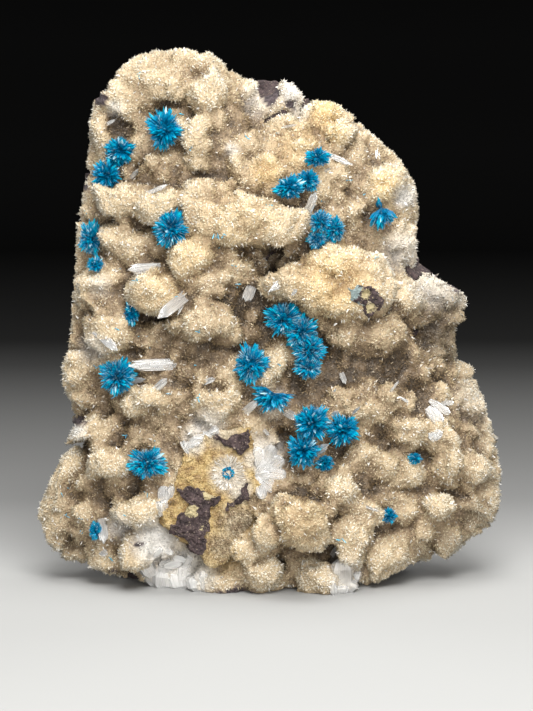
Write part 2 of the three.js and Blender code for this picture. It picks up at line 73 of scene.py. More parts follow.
# The specimen's outline seen from the front, clockwise: (column, row)
OUTLINE = [
    (110, 82), (120, 66), (138, 54), (160, 50), (180, 48), (209, 51), (220, 61), (238, 76), (262, 79),
    (285, 79), (298, 89), (308, 98), (333, 101), (350, 112), (366, 128), (380, 140), (395, 152), (414, 180),
    (418, 200), (417, 250), (422, 264), (445, 282), (463, 292), (468, 300), (466, 318), (457, 324),
    (456, 345), (460, 360), (472, 365), (480, 388), (488, 412), (497, 445), (501, 470), (500, 505),
    (492, 526), (470, 540), (452, 557), (425, 560), (400, 572), (375, 586), (333, 597), (300, 594),
    (278, 593), (240, 597), (212, 596), (200, 592), (160, 588), (145, 583), (100, 573), (80, 563),
    (60, 558), (48, 545), (38, 520), (40, 502), (52, 480), (64, 452), (72, 430), (72, 405), (61, 384),
    (62, 365), (70, 335), (71, 300), (75, 250), (78, 215), (84, 185), (89, 150), (89, 120), (95, 100),
    (98, 94),
]
OUTLINE_MIDDLE = (270, 340)

# ---------------------------------------------------------------- lumps, dents and zones of the crust
# Lumps: (column, row, half width, half height in cells, rise in mm)
LUMPS = [
    # the larger ones, which the solid has too
    (150, 78, 34, 22, 1.6), (207, 97, 18, 17, 3.0), (124, 104, 18, 18, 1.8), (104, 142, 13, 26, 1.2),
    (198, 142, 11, 20, 0.5), (122, 200, 22, 16, 2.2), (160, 206, 22, 16, 2.2), (204, 191, 20, 12, 1.8),
    (250, 215, 26, 17, 1.6), (222, 228, 26, 15, 1.8), (280, 226, 20, 16, 1.6), (325, 112, 18, 13, 1.6),
    (340, 134, 14, 13, 1.4), (380, 186, 17, 15, 1.4), (336, 268, 30, 18, 1.4), (318, 292, 26, 18, 1.4),
    (362, 290, 24, 20, 1.2), (292, 283, 22, 15, 1.6), (130, 246, 16, 15, 1.4), (190, 258, 20, 18, 2.4),
    (155, 293, 22, 19, 2.4), (206, 285, 18, 14, 2.0), (108, 282, 19, 18, 1.6), (112, 333, 20, 20, 1.8),
    (203, 322, 24, 16, 2.2), (86, 370, 18, 16, 1.4), (150, 398, 20, 15, 1.6), (272, 362, 14, 15, 1.4),
    (100, 430, 20, 13, 1.4), (112, 464, 18, 14, 1.8), (60, 507, 16, 16, 1.2), (136, 552, 17, 16, 2.2),
    (140, 513, 18, 13, 1.8), (106, 559, 18, 13, 1.6), (300, 521, 25, 22, 2.8), (270, 531, 15, 15, 1.8),
    (264, 566, 17, 15, 2.0), (341, 492, 16, 18, 2.0), (352, 538, 18, 16, 2.0), (320, 574, 22, 15, 1.8),
    (386, 560, 22, 17, 1.8), (222, 578, 20, 13, 1.6), (440, 508, 15, 15, 2.0), (470, 468, 15, 15, 1.6),
    (448, 462, 15, 15, 2.0), (484, 490, 12, 16, 1.2), (446, 538, 17, 15, 1.6), (436, 432, 15, 16, 1.8),
    # crown and upper left
    (172, 88, 14, 11, 1.8), (216, 118, 10, 10, 1.4), (112, 118, 12, 13, 1.4), (143, 148, 12, 13, 1.8),
    (247, 92, 14, 12, 1.8), (262, 113, 20, 9, 1.4), (292, 96, 11, 14, 2.4), (240, 145, 13, 12, 0.9),
    (156, 250, 14, 12, 2.0), (160, 172, 12, 9, 1.0), (190, 205, 10, 10, 1.6), (184, 132, 9, 16, 0.8),
    # upper right
    (298, 146, 26, 11, 1.3), (268, 171, 17, 12, 1.9), (340, 200, 12, 8, 1.2), (350, 213, 13, 13, 2.6),
    (362, 152, 18, 12, 1.0), (394, 204, 13, 13, 1.4), (408, 240, 11, 16, 1.2), (373, 262, 13, 9, 1.4),
    # left flank
    (91, 240, 12, 15, 2.0), (97, 267, 9, 9, 1.4), (100, 302, 15, 13, 1.4), (152, 338, 15, 14, 2.2),
    (185, 346, 13, 9, 1.5), (229, 331, 15, 12, 2.0), (243, 342, 9, 8, 1.4), (228, 370, 14, 12, 1.5),
    (196, 370, 12, 9, 1.2), (95, 396, 15, 12, 1.6), (143, 433, 14, 12, 2.2), (170, 408, 12, 9, 1.0),
    (104, 448, 16, 9, 1.0), (120, 415, 13, 9, 1.0),
    # low left
    (92, 486, 14, 13, 2.0), (68, 468, 14, 12, 2.0), (86, 512, 15, 11, 1.8), (55, 527, 14, 13, 1.8),
    (152, 481, 13, 10, 1.4), (167, 455, 9, 11, 1.2), (116, 530, 13, 12, 1.6), (127, 513, 12, 9, 1.4),
    (154, 508, 10, 10, 1.2), (118, 480, 12, 11, 1.4), (75, 556, 12, 8, 1.4), (173, 430, 10, 10, 1.0),
    # below the ochre plate, under the milky crystals
    (158, 568, 18, 14, 2.8), (182, 568, 18, 16, 3.2), (164, 546, 15, 12, 2.0), (209, 578, 14, 14, 2.0),
    # low middle
    (300, 479, 18, 10, 1.4), (325, 478, 9, 9, 1.4), (281, 505, 10, 9, 1.0), (238, 566, 12, 13, 1.8),
    (232, 525, 14, 12, 0.9), (300, 556, 12, 6, 0.8), (310, 572, 12, 10, 1.4), (290, 582, 12, 8, 1.2),
    (262, 425, 12, 9, 1.0), (340, 562, 9, 8, 1.0),
    # low right
    (363, 457, 15, 14, 2.4), (385, 466, 13, 12, 2.4), (408, 472, 14, 13, 2.4), (372, 516, 13, 12, 1.8),
    (404, 508, 15, 14, 2.0), (420, 529, 16, 15, 2.2), (474, 525, 14, 12, 1.8), (462, 500, 13, 14, 1.8),
    (480, 425, 12, 14, 1.6), (483, 450, 12, 13, 1.8), (416, 374, 13, 12, 2.4), (433, 393, 14, 9, 1.8),
    (456, 376, 15, 14, 1.6), (433, 352, 9, 8, 1.6), (468, 402, 13, 12, 1.4), (400, 402, 16, 10, 1.0),
    (411, 256, 12, 14, 1.6), (362, 430, 16, 11, 1.2), (405, 425, 18, 10, 1.2), (440, 445, 18, 9, 1.4),
    (394, 545, 15, 13, 1.6), (346, 336, 18, 12, 1.4), (384, 330, 14, 16, 1.6), (350, 395, 15, 9, 0.8),
    (372, 336, 34, 22, 1.2), (358, 370, 34, 20, 1.2), (396, 350, 22, 18, 1.0),
    # the recess below the right shoulder, filled in
    (424, 334, 15, 17, 0.8), (443, 340, 14, 18, 0.8),
]
# Dents: (column, row, half width, half height in cells, depth in mm)
DENTS = [
    # crown and upper left
    (154, 112, 7, 7, 4.0), (168, 103, 16, 4, 2.8), (186, 92, 3.5, 12, 2.8), (197, 76, 8, 4, 2.4),
    (206, 125, 9, 5, 2.6), (184, 150, 6, 14, 1.6), (198, 140, 12, 16, 1.4), (214, 146, 5, 12, 1.6),
    (137, 160, 7, 6, 3.0), (126, 172, 9, 6, 2.6), (152, 178, 16, 6, 2.0), (203, 176, 9, 5, 2.6),
    (188, 194, 7, 6, 2.0), (124, 133, 4, 12, 1.4), (128, 88, 5, 6, 1.2), (108, 130, 7, 7, 1.6),
    (222, 158, 8, 4, 1.6),
    # upper right
    (293, 208, 7, 6, 2.6), (323, 208, 8, 5, 2.4), (362, 213, 6, 10, 2.6), (385, 232, 11, 5, 2.0),
    (346, 234, 6, 7, 2.2), (343, 170, 10, 4, 1.6), (352, 193, 6, 4, 1.6), (325, 123, 9, 3, 1.6),
    (293, 106, 6, 7, 1.8), (262, 198, 14, 4, 1.4), (380, 274, 9, 6, 1.8), (300, 246, 10, 5, 2.4),
    (277, 262, 24, 10, 3.4), (238, 168, 8, 8, 1.0), (272, 120, 12, 5, 0.9),
    # left flank
    (148, 231, 9, 5, 3.2), (107, 250, 6, 4, 2.0), (132, 226, 10, 4, 1.8), (178, 274, 8, 4, 1.6),
    (125, 262, 12, 4, 1.6), (206, 303, 16, 4, 2.8), (222, 302, 7, 4, 2.6), (154, 317, 20, 5, 3.0),
    (131, 330, 4, 14, 2.6), (122, 356, 12, 4, 2.4), (240, 316, 9, 6, 2.0), (264, 322, 12, 10, 1.8),
    (215, 349, 18, 4, 1.8), (97, 300, 4, 6, 1.4), (118, 272, 5, 5, 1.2), (172, 356, 8, 4, 1.4),
    (200, 384, 10, 4, 1.4), (222, 386, 8, 4, 1.4), (183, 400, 5, 6, 1.4), (130, 405, 8, 5, 1.0),
    # middle
    (328, 345, 8, 12, 4.0), (318, 331, 6, 5, 2.2), (258, 345, 8, 6, 1.6), (296, 382, 8, 8, 1.6),
    (286, 352, 4, 10, 1.8), (284, 440, 11, 9, 4.0), (331, 446, 8, 8, 2.6), (290, 460, 5, 8, 1.8),
    (383, 384, 6, 5, 1.4), (408, 361, 8, 4, 1.4), (385, 395, 6, 5, 1.4), (262, 410, 8, 5, 1.4),
    (302, 402, 8, 4, 1.2),
    # low left
    (157, 448, 8, 8, 4.5), (124, 449, 9, 8, 3.4), (135, 474, 5, 10, 2.4), (126, 492, 11, 5, 3.0),
    (107, 509, 4, 8, 2.6), (66, 543, 6, 6, 3.2), (77, 515, 8, 4, 1.6), (104, 500, 10, 3, 1.4),
    (82, 499, 8, 3, 1.2), (70, 485, 7, 3, 1.2), (96, 540, 5, 8, 1.4), (176, 470, 6, 8, 1.6),
    (170, 440, 8, 6, 1.4),
    # low middle
    (324, 504, 11, 10, 6.0), (323, 547, 10, 9, 4.5), (296, 549, 26, 5, 3.0), (268, 553, 7, 5, 2.6),
    (245, 560, 4, 6, 1.6), (283, 563, 5, 8, 1.8), (330, 528, 4, 10, 2.0), (290, 495, 10, 3, 1.4),
    (254, 515, 6, 8, 1.2),
    # low right
    (372, 486, 12, 8, 2.4), (386, 484, 6, 5, 1.8), (404, 491, 9, 4, 2.0), (452, 492, 9, 5, 2.4),
    (443, 433, 4, 8, 2.8), (430, 428, 10, 5, 1.6), (382, 434, 10, 6, 1.6), (425, 454, 6, 9, 1.4),
    (394, 448, 10, 4, 1.4), (362, 480, 5, 5, 1.4), (437, 382, 6, 3, 1.6), (420, 345, 16, 14, 2.0),
    (447, 350, 6, 12, 1.6), (400, 332, 4, 14, 1.8), (474, 470, 5, 8, 1.2), (372, 562, 6, 9, 1.6),
    (435, 548, 10, 8, 1.2), (385, 528, 8, 5, 1.2), (416, 490, 7, 4, 1.2), (465, 415, 7, 5, 1.4),
]
# Zones of the druse's colour, the brown-and-shade and grey-and-shade ones partly painted shade: (column, row,
# radius in cells, strength)
WHITE_ZONES = [
    (436, 284, 26, 0.5), (462, 298, 10, 0.4), (292, 92, 14, 0.9), (300, 108, 12, 0.5), (262, 98, 20, 0.4),
    (250, 470, 10, 0.6), (156, 543, 24, 1.0), (185, 572, 30, 0.9), (262, 455, 22, 0.6), (345, 575, 18, 0.4),
    (404, 250, 22, 0.5), (405, 197, 12, 0.9), (78, 431, 8, 0.9), (196, 436, 14, 0.7), (480, 400, 26, 0.2),
    (115, 108, 9, 0.6), (232, 149, 7, 0.6), (100, 285, 12, 0.35), (93, 348, 16, 0.4), (208, 426, 18, 0.6),
    (118, 527, 14, 0.5), (272, 402, 16, 0.4),
]
HONEY_ZONES = [
    (335, 282, 40, 0.45), (300, 150, 30, 0.3), (235, 220, 42, 0.15), (190, 255, 26, 0.25),
    (300, 520, 30, 0.2), (325, 112, 20, 0.6), (268, 171, 18, 0.5), (385, 186, 16, 0.5), (160, 290, 26, 0.2),
    (335, 132, 14, 0.4),
]
# Brown zones: browner druse, and painted shade in recesses such as those below the mound and the right
# shoulder
BROWN_AND_SHADE_ZONES = [
    (395, 365, 55, 1.0), (345, 372, 40, 0.9), (440, 322, 30, 0.9), (315, 395, 34, 0.8), (255, 300, 24, 0.7),
    (190, 385, 36, 0.4), (290, 440, 26, 0.6), (142, 484, 20, 0.7), (242, 125, 26, 0.35),
    (150, 168, 22, 0.8), (112, 128, 14, 0.6), (265, 325, 24, 0.6), (285, 262, 26, 0.7), (430, 338, 28, 0.5),
    (372, 486, 14, 0.8), (120, 448, 18, 0.5), (205, 182, 14, 0.7), (300, 205, 14, 0.5), (365, 215, 12, 0.6),
    (168, 448, 16, 0.6), (245, 312, 18, 0.5), (335, 500, 12, 0.4), (400, 425, 30, 0.3), (335, 425, 26, 0.4),
    (300, 522, 34, 0.8), (230, 325, 50, 0.7), (120, 320, 40, 0.5), (120, 380, 20, 0.3), (450, 345, 20, 0.3),
    (205, 140, 18, 0.5), (150, 330, 30, 0.4),
]
OCHRE_ZONES = [(248, 522, 16, 0.5), (226, 556, 18, 0.6), (197, 562, 10, 0.8), (168, 512, 10, 0.7)]
# Grey zones dulled with SHADED, mostly painted shade: the recess below the right shoulder and the undersides
# near the foot
GREY_AND_SHADE_ZONES = [
    (441, 338, 22, 0.9), (452, 352, 14, 0.9), (430, 325, 14, 0.6), (446, 308, 24, 0.7),
    (425, 300, 18, 0.35), (472, 390, 18, 0.4), (486, 440, 20, 0.4), (478, 520, 24, 0.6),
    (452, 546, 18, 0.6), (425, 552, 14, 0.4), (65, 545, 24, 0.4), (52, 500, 20, 0.3), (470, 366, 14, 0.4),
    (492, 480, 14, 0.5), (132, 150, 12, 0.3),
]
# Spots where the druse has come off: (column, row, half width, half height in cells)
BARE_SPOTS = [
    (79, 421, 9, 6), (101, 100, 7, 8), (139, 544, 6, 3), (271, 94, 10, 12), (86, 187, 4, 4),
    (291, 106, 6, 6), (236, 593, 18, 5), (112, 571, 6, 3), (425, 263, 5, 5), (433, 270, 7, 4),
    (442, 277, 7, 4), (451, 283, 7, 4), (460, 290, 7, 4), (467, 296, 4, 4),
]

# ---------------------------------------------------------------- crystals, as on the solids
# Rosettes: balls that grew together, each (column, row, half width, half height), and for a fan also the
# direction that it opens in and half its spread, in degrees from the right
ROSETTES = [
    [(165, 131, 17, 18)],
    [(121, 151, 15, 13), (116, 160, 10, 9), (107, 176, 14, 15)],
    [(172, 230, 16, 18)],
    [(92, 239, 12, 16)],
    [(96, 265, 8, 8)],
    [(132, 313, 8, 12)],
    [(118, 377, 17, 17)],
    [(148, 463, 18, 14)],
    [(96, 530, 7, 9)],
    [(318, 158, 13, 9)],
    [(289, 188, 14, 11), (308, 181, 11, 11)],
    [(320, 222, 11, 11), (334, 230, 11, 13), (317, 240, 10, 9)],
    [(381, 209, 15, 21, -88, 62), (381, 210, 9, 12, 118, 12)],
    [(284, 319, 17, 16), (301, 332, 16, 16), (309, 350, 15, 15), (308, 367, 13, 12)],
    [(251, 364, 15, 18)],
    [(274, 394, 20, 16, -110, 110)],
    [(312, 423, 17, 17)],
    [(343, 430, 15, 15)],
    [(303, 451, 15, 16), (325, 463, 9, 8)],
    [(388, 515, 9, 8)],
    [(415, 458, 7, 6)],
]
DENSE = {3, 4, 7, 8, 12, 14, 15}  # rosettes of many fine needles, by their number from 1
# A worn rosette on the plate: column, row, and radii of its core, its blue and its fibres
RING = (228, 473, 2.5, 7, 19)
# Blades: (root column, root row, tip column, tip row, width in cells, rise of the tip in mm)
BLADES = [
    (160, 268, 127, 270, 12, 2), (185, 296, 159, 319, 13, 4), (252, 286, 245, 303, 12, 5),
    (178, 364, 127, 366, 13, 2), (155, 390, 168, 378, 8, 2), (96, 331, 119, 351, 10, 2),
    (320, 151, 354, 164, 6, 2), (308, 211, 316, 192, 9, 3), (302, 267, 268, 293, 9, 2),
    (243, 414, 258, 400, 9, 2), (284, 411, 298, 419, 9, 2), (309, 456, 329, 443, 9, 6),
    (102, 518, 104, 545, 11, 3), (438, 441, 428, 433, 9, 2),
]
# Clusters: how many crystals stand side by side at each place, and the places, each (column, row,
# half length, half width in cells, half depth in mm, rise in mm, turn in degrees)
CLUSTERS = {
    "low_left": (1, [
        (155, 575, 12, 14, 3.0, 1.4, 104), (171, 573, 16, 15, 4.2, 2.2, 92), (188, 575, 15, 14, 4.0, 2.0, 84),
        (208, 581, 16, 12, 4.2, 1.6, 94), (219, 584, 12, 8, 3.2, 1.2, 82), (197, 584, 11, 11, 3.4, 1.6, 100),
        (163, 580, 10, 12, 3.2, 2.2, 75), (180, 582, 11, 12, 3.4, 2.2, 108), (148, 569, 9, 9, 2.4, 1.2, 125),
        (166, 560, 9, 4, 1.2, 1.0, 35), (178, 558, 9, 4, 1.2, 1.0, -18), (188, 561, 8, 4, 1.2, 1.0, 58),
        (173, 564, 10, 5, 1.2, 1.4, 12), (158, 552, 7, 3.5, 1.0, 0.8, 52), (168, 551, 7, 3.5, 1.0, 0.8, -30),
    ]),
    "right_of_plate": (1, [
        (259, 459, 13, 7, 1.4, 0.8, 96), (268, 457, 13, 7.5, 1.4, 1.3, 68), (275, 464, 12, 7, 1.4, 1.4, 35),
        (275, 474, 12, 7, 1.4, 1.2, 0), (268, 484, 12, 8, 1.4, 1.1, -42), (260, 488, 11, 6, 1.2, 0.7, -75),
        (264, 468, 13, 8, 1.4, 1.7, 52), (261, 477, 10, 6, 1.2, 1.2, 15),
    ]),
    "foot": (1, [
        (342, 576, 18, 12, 3.0, 2.2, 93), (356, 576, 7, 5, 1.8, 1.6, 72), (351, 588, 8, 6, 2.4, 1.0, 58),
        (333, 589, 8, 4, 2.0, 1.4, 100), (341, 590, 6, 8, 2.4, 1.8, 84),
    ]),
    "left_block": (2, [(167, 498, 13, 9, 1.6, 0.8, 84), (161, 508, 9, 7, 1.4, 0.6, 100)]),
    "crest": (3, [
        (192, 444, 9, 5, 0.8, 0.8, 40), (186, 447, 7, 4, 0.8, 0.7, 110), (213, 431, 7, 4, 0.8, 0.8, 30),
        (208, 434, 6, 3, 0.8, 0.7, -20), (199, 438, 6, 4, 0.8, 0.8, 0),
    ]),
    "book": (1, [
        (439, 407, 13, 4.5, 1.2, 2.2, -32), (434, 416, 11, 7, 1.2, 1.5, -48), (447, 403, 6, 3, 0.8, 1.4, 0),
        (437, 435, 6, 5, 1.0, 1.2, 60),
    ]),
}
MILKY_CLUSTERS = {"low_left", "foot"}
# Small blades, too thin for the solids, in the same terms as BLADES
SMALL_BLADES = [
    (146, 194, 169, 185, 5, 1), (125, 382, 147, 379, 6, 2), (203, 383, 216, 378, 6, 1),
    (101, 313, 109, 328, 3, 2), (323, 173, 331, 167, 3, 1), (377, 142, 378, 157, 3, 1),
    (382, 143, 382, 157, 3, 1), (278, 128, 298, 123, 3, 1), (287, 296, 297, 290, 6, 1),
    (287, 257, 296, 250, 2, 1), (328, 355, 345, 351, 5, 1), (340, 370, 346, 385, 6, 1),
    (388, 396, 399, 379, 2.5, 1), (332, 418, 338, 410, 7, 1), (345, 420, 361, 405, 3, 2),
    (95, 548, 108, 556, 9, 1), (108, 506, 122, 512, 3, 1), (363, 506, 380, 511, 3, 1),
    (331, 558, 338, 547, 6, 1), (302, 585, 312, 570, 4, 1), (96, 232, 94, 222, 5, 3),
    (330, 234, 332, 245, 3, 4), (103, 126, 114, 117, 4, 1), (128, 180, 142, 166, 5, 1),
    (106, 268, 103, 261, 3, 1), (186, 298, 178, 316, 3, 1), (330, 398, 336, 388, 3, 1),
    (413, 405, 398, 396, 3, 1), (262, 428, 270, 436, 4, 1), (300, 428, 308, 434, 4, 1),
]
# Flecks of blue, single needles or a few together: (column, row)
FLECKS = [
    (139, 76), (186, 113), (189, 148), (249, 138), (279, 133), (299, 119), (85, 213), (216, 235),
    (225, 236), (220, 250), (268, 206), (323, 201), (347, 180), (364, 193), (377, 258), (178, 296),
    (121, 270), (138, 282), (116, 330), (139, 337), (151, 346), (197, 331), (97, 368), (118, 397),
    (197, 365), (198, 398), (172, 395), (235, 265), (236, 286), (62, 495), (71, 487), (66, 515), (79, 520),
    (81, 532), (110, 557), (126, 515), (126, 435), (155, 440), (146, 492), (102, 477), (437, 412),
    (437, 470), (458, 475), (340, 538), (276, 365),
]


def places_of(points):
    """The columns and rows of the survey grid at which points are seen from the front."""
    off = points - ORIGIN
    nearer = CAMERA_DISTANCE / (CAMERA_DISTANCE - off @ OUT)
    cols = VIEW_COL + (off @ RIGHT / CELL + MID_COL - VIEW_COL) * nearer
    rows = VIEW_ROW + (BASE_ROW - off @ UP / CELL - VIEW_ROW) * nearer
    return cols, rows


def unit(vectors):
    return vectors / np.linalg.norm(vectors, axis=-1, keepdims=True)


def keep_above_floor(points):
    points[:, 2] = np.maximum(points[:, 2], 0.0)
    return points


# ---------------------------------------------------------------- meshes from arrays
def mesh_from(name, points, faces, flat=False):
    """A mesh from points and from faces that all have as many corners, shaded flat or round."""
    mesh = bpy.data.meshes.new(name)
    count, corners = faces.shape
    mesh.vertices.add(len(points))
    mesh.vertices.foreach_set("co", np.asarray(points, np.float32).ravel())
    mesh.loops.add(count * corners)
    mesh.loops.foreach_set("vertex_index", np.asarray(faces, np.int32).ravel())
    mesh.polygons.add(count)
    mesh.polygons.foreach_set("loop_start", np.arange(count, dtype=np.int32) * corners)
    mesh.update(calc_edges=True)
    if flat:
        mesh.shade_flat()
    return mesh


def add_object(name, mesh):
    obj = bpy.data.objects.new(name, mesh)
    bpy.context.scene.collection.objects.link(obj)
    return obj


def points_of(mesh):
    co = np.empty(len(mesh.vertices) * 3, np.float32)
    mesh.vertices.foreach_get("co", co)
    return co.reshape(-1, 3).astype(float)


def normals_of(mesh):
    values = np.empty(len(mesh.vertices) * 3, np.float32)
    mesh.vertices.foreach_get("normal", values)
    return values.reshape(-1, 3).astype(float)


def triangles_of(mesh):
    mesh.calc_loop_triangles()
    corners = np.empty(len(mesh.loop_triangles) * 3, np.int32)
    mesh.loop_triangles.foreach_get("vertices", corners)
    return corners.reshape(-1, 3)


def part_of(mesh):
    """A mesh as its points and its faces."""
    return points_of(mesh), triangles_of(mesh)


def node_part(name):
    return part_of(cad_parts[name].data)


def stacked(parts):
    """The points and faces of several parts as one list of each."""
    starts = np.cumsum([0] + [len(points) for points, _ in parts[:-1]])
    points = np.concatenate([points for points, _ in parts])
    return points, np.concatenate([faces + start for (_, faces), start in zip(parts, starts)])


def move_points(mesh, points):
    mesh.vertices.foreach_set("co", points.astype(np.float32).ravel())
    mesh.update()


def set_field(mesh, name, values):
    """Stores one number per vertex, which a material reads by name."""
    field = mesh.attributes.new(name, "FLOAT", "POINT")
    field.data.foreach_set("value", np.asarray(values, np.float32))


def set_directions(mesh, name, vectors):
    """Stores one direction per vertex, which a material reads by name."""
    field = mesh.attributes.new(name, "FLOAT_VECTOR", "POINT")
    field.data.foreach_set("vector", np.asarray(vectors, np.float32).ravel())


def tree_of(*parts):
    """A search tree over the faces of some parts."""
    points, corners = stacked(parts)
    return BVHTree.FromPolygons(points.tolist(), corners.tolist())


def unit_ball(subdivisions):
    work = bmesh.new()
    bmesh.ops.create_icosphere(work, subdivisions=subdivisions, radius=1.0)
    mesh = bpy.data.meshes.new("ball")
    work.to_mesh(mesh)
    work.free()
    return part_of(mesh)


ROUND_BALL = unit_ball(2)


def in_face_frame(points, centre, radii):
    """Points of a unit ball, stretched to three radii along the face frame's axes."""
    across = points[:, :1] * RIGHT * radii[0]
    up = points[:, 1:2] * UP * radii[1]
    out = points[:, 2:] * OUT * radii[2]
    return centre + across + up + out


def fused(name, parts, voxel, rounds):
    """One closed skin round several parts: remeshed at the voxel's size, then smoothed."""
    obj = add_object(name, mesh_from(name, *stacked(parts)))
    remesh = obj.modifiers.new("skin", "REMESH")
    remesh.mode = "VOXEL"
    remesh.voxel_size = voxel
    smooth = obj.modifiers.new("smooth", "SMOOTH")
    smooth.iterations = rounds
    smooth.factor = 0.5
    depsgraph = bpy.context.evaluated_depsgraph_get()
    skin = bpy.data.meshes.new_from_object(obj.evaluated_get(depsgraph))
    bpy.data.objects.remove(obj)
    return skin


def neighbours_mean(mesh, values, rounds):
    """Values per vertex, averaged with those of the neighbours again and again."""
    edges = np.empty(len(mesh.edges) * 2, np.int32)
    mesh.edges.foreach_get("vertices", edges)
    a, b = edges.reshape(-1, 2).T
    ends = np.concatenate((a, b))
    others = np.concatenate((b, a))
    count = len(mesh.vertices)
    degree = np.bincount(ends, minlength=count).astype(float)
    result = values.copy()
    for _ in range(rounds):
        for axis in range(result.shape[1]):
            total = np.bincount(ends, weights=result[others, axis], minlength=count)
            result[:, axis] = total / degree
    return result


# ---------------------------------------------------------------- noise
# noise_vector() isn't the same on every run, so each axis of a drift has its own noise,
# shifted by one of these
DRIFT_SHIFTS = (9.3, 37.1, 71.7)
FOAM_FALL = 2.2  # how fast a foam's bumps fall away from the middles of its cells


def cell_bumps(points, size):
    """1 in the middle of each cell of a foam with that size of cell, falling to 0 and below at its walls."""
    return np.array([1 - FOAM_FALL * noise.voronoi(Vector(p))[0][0] ** 2 for p in points / size])


def from_cell_middle(points, size):
    """How far points lie from the middle of their cell of a foam, as a share of the size of cell."""
    middles = np.array([noise.voronoi(Vector(p))[1][0] for p in points / size])
    return (points / size - middles).clip(-1, 1)


def grain(points, size, octaves=2):
    """Rough noise from -1 to 1 with features of that size."""
    return np.array([noise.fractal(Vector(p), 1.0, 2.0, octaves) for p in points / size])


def drift(points, size):
    """A smooth push in a different direction at each place, with swirls of that size."""
    pushes = [[noise.noise(Vector(p)) for p in points / size + shift] for shift in DRIFT_SHIFTS]
    return np.array(pushes).T


# ---------------------------------------------------------------- the outline, the dents and the zones
OUTLINE_STEPS = 240  # directions in which the outline is compared
DRUSE_PROUD = 0.3 * MM  # how far the druse stands out past the ground's outline
STRETCHES = (0.88, 1.14)  # the least and the greatest stretch of a rim
RIM_START, RIM_WIDTH = 0.7, 0.3  # shares of the reach: where a rim's stretch sets in, and over what it grows
DENT_SHARE = 1.25  # how deep the dents are made, as a share of what shows of them
DENT_FALL = 0.8  # how fast a dent grows shallow away from its middle
ZONE_CORE, ZONE_FALL = 1.6, 1.3  # a zone's strength at its middle, cut off at 1, and its fall over a radius
BARE_BORDER = 1.1  # where a bare spot's border lies, as a share of its radii
BARE_RAGGED = 0.5  # how far the border strays from there
BARE_TEAR = 1.5 * MM  # over what distance it does
BARE_SHARP = 4  # how sharply the druse ends at it


def radii_of(cols, rows, angles):
    """How far an outline of places reaches from OUTLINE_MIDDLE in each direction."""
    around = np.arctan2(rows - OUTLINE_MIDDLE[1], cols - OUTLINE_MIDDLE[0])
    away = np.hypot(cols - OUTLINE_MIDDLE[0], rows - OUTLINE_MIDDLE[1])
    bins = np.round((around + math.pi) / (2 * math.pi) * len(angles)).astype(int) % len(angles)
    reach = np.zeros(len(angles))
    np.maximum.at(reach, bins, away)
    return reach


def outline_places(steps=2000):
    """Places spread along the outline."""
    corners = np.array([*OUTLINE, OUTLINE[0]], float)
    along = np.linspace(0, len(OUTLINE), steps, endpoint=False)
    return tuple(np.interp(along, np.arange(len(corners)), corners[:, k]) for k in (0, 1))


def fit_to_outline(skins):
    """Stretches the rims of skins, most at their edge, so that together they reach the outline."""
    angles = np.linspace(-math.pi, math.pi, OUTLINE_STEPS, endpoint=False)
    cols, rows = places_of(np.concatenate([points_of(skin) for skin in skins]))
    now = radii_of(cols, rows, angles)
    wanted = radii_of(*outline_places(), angles) - DRUSE_PROUD / CELL
    stretch = np.clip(wanted / now, *STRETCHES) - 1
    for skin in skins:
        points = points_of(skin)
        cols, rows = places_of(points)
        across, down = cols - OUTLINE_MIDDLE[0], rows - OUTLINE_MIDDLE[1]
        around, away = np.arctan2(down, across), np.hypot(across, down)
        reach = np.interp(around, angles, now, period=2 * math.pi)
        share = np.clip((away / reach - RIM_START) / RIM_WIDTH, 0, 1)
        grow = np.interp(around, angles, stretch, period=2 * math.pi) * share * share * (3 - 2 * share)
        moved = points + (across * grow * CELL)[:, None] * RIGHT - (down * grow * CELL)[:, None] * UP
        move_points(skin, keep_above_floor(moved))


def dent_depth(points):
    """How far the dents push each point in, in metres."""
    cols, rows = places_of(points)
    depth = np.zeros(len(points))
    for col, row, half_width, half_height, mm in DENTS:
        away = ((cols - col) / half_width) ** 2 + ((rows - row) / half_height) ** 2
        depth = np.maximum(depth, DENT_SHARE * mm * MM * np.exp(-away * DENT_FALL))
    return depth


def zone_share(points, zones):
    """How strongly each point lies in the strongest zone that reaches it, from 0 to 1."""
    cols, rows = places_of(points)
    share = np.zeros(len(points))
    for col, row, radius, strength in zones:
        away = np.hypot(cols - col, rows - row) / radius
        share = np.maximum(share, strength * np.clip(ZONE_CORE - ZONE_FALL * away, 0, 1))
    return share


def bare_share(points):
    """1 in the bare spots and 0 outside, with a ragged border."""
    cols, rows = places_of(points)
    ragged = grain(points, BARE_TEAR, 3)
    share = np.zeros(len(points))
    for col, row, half_width, half_height in BARE_SPOTS:
        away = np.hypot((cols - col) / half_width, (rows - row) / half_height)
        inside = np.clip((BARE_BORDER - away + BARE_RAGGED * ragged) * BARE_SHARP, 0, 1)
        share = np.maximum(share, inside)
    return share


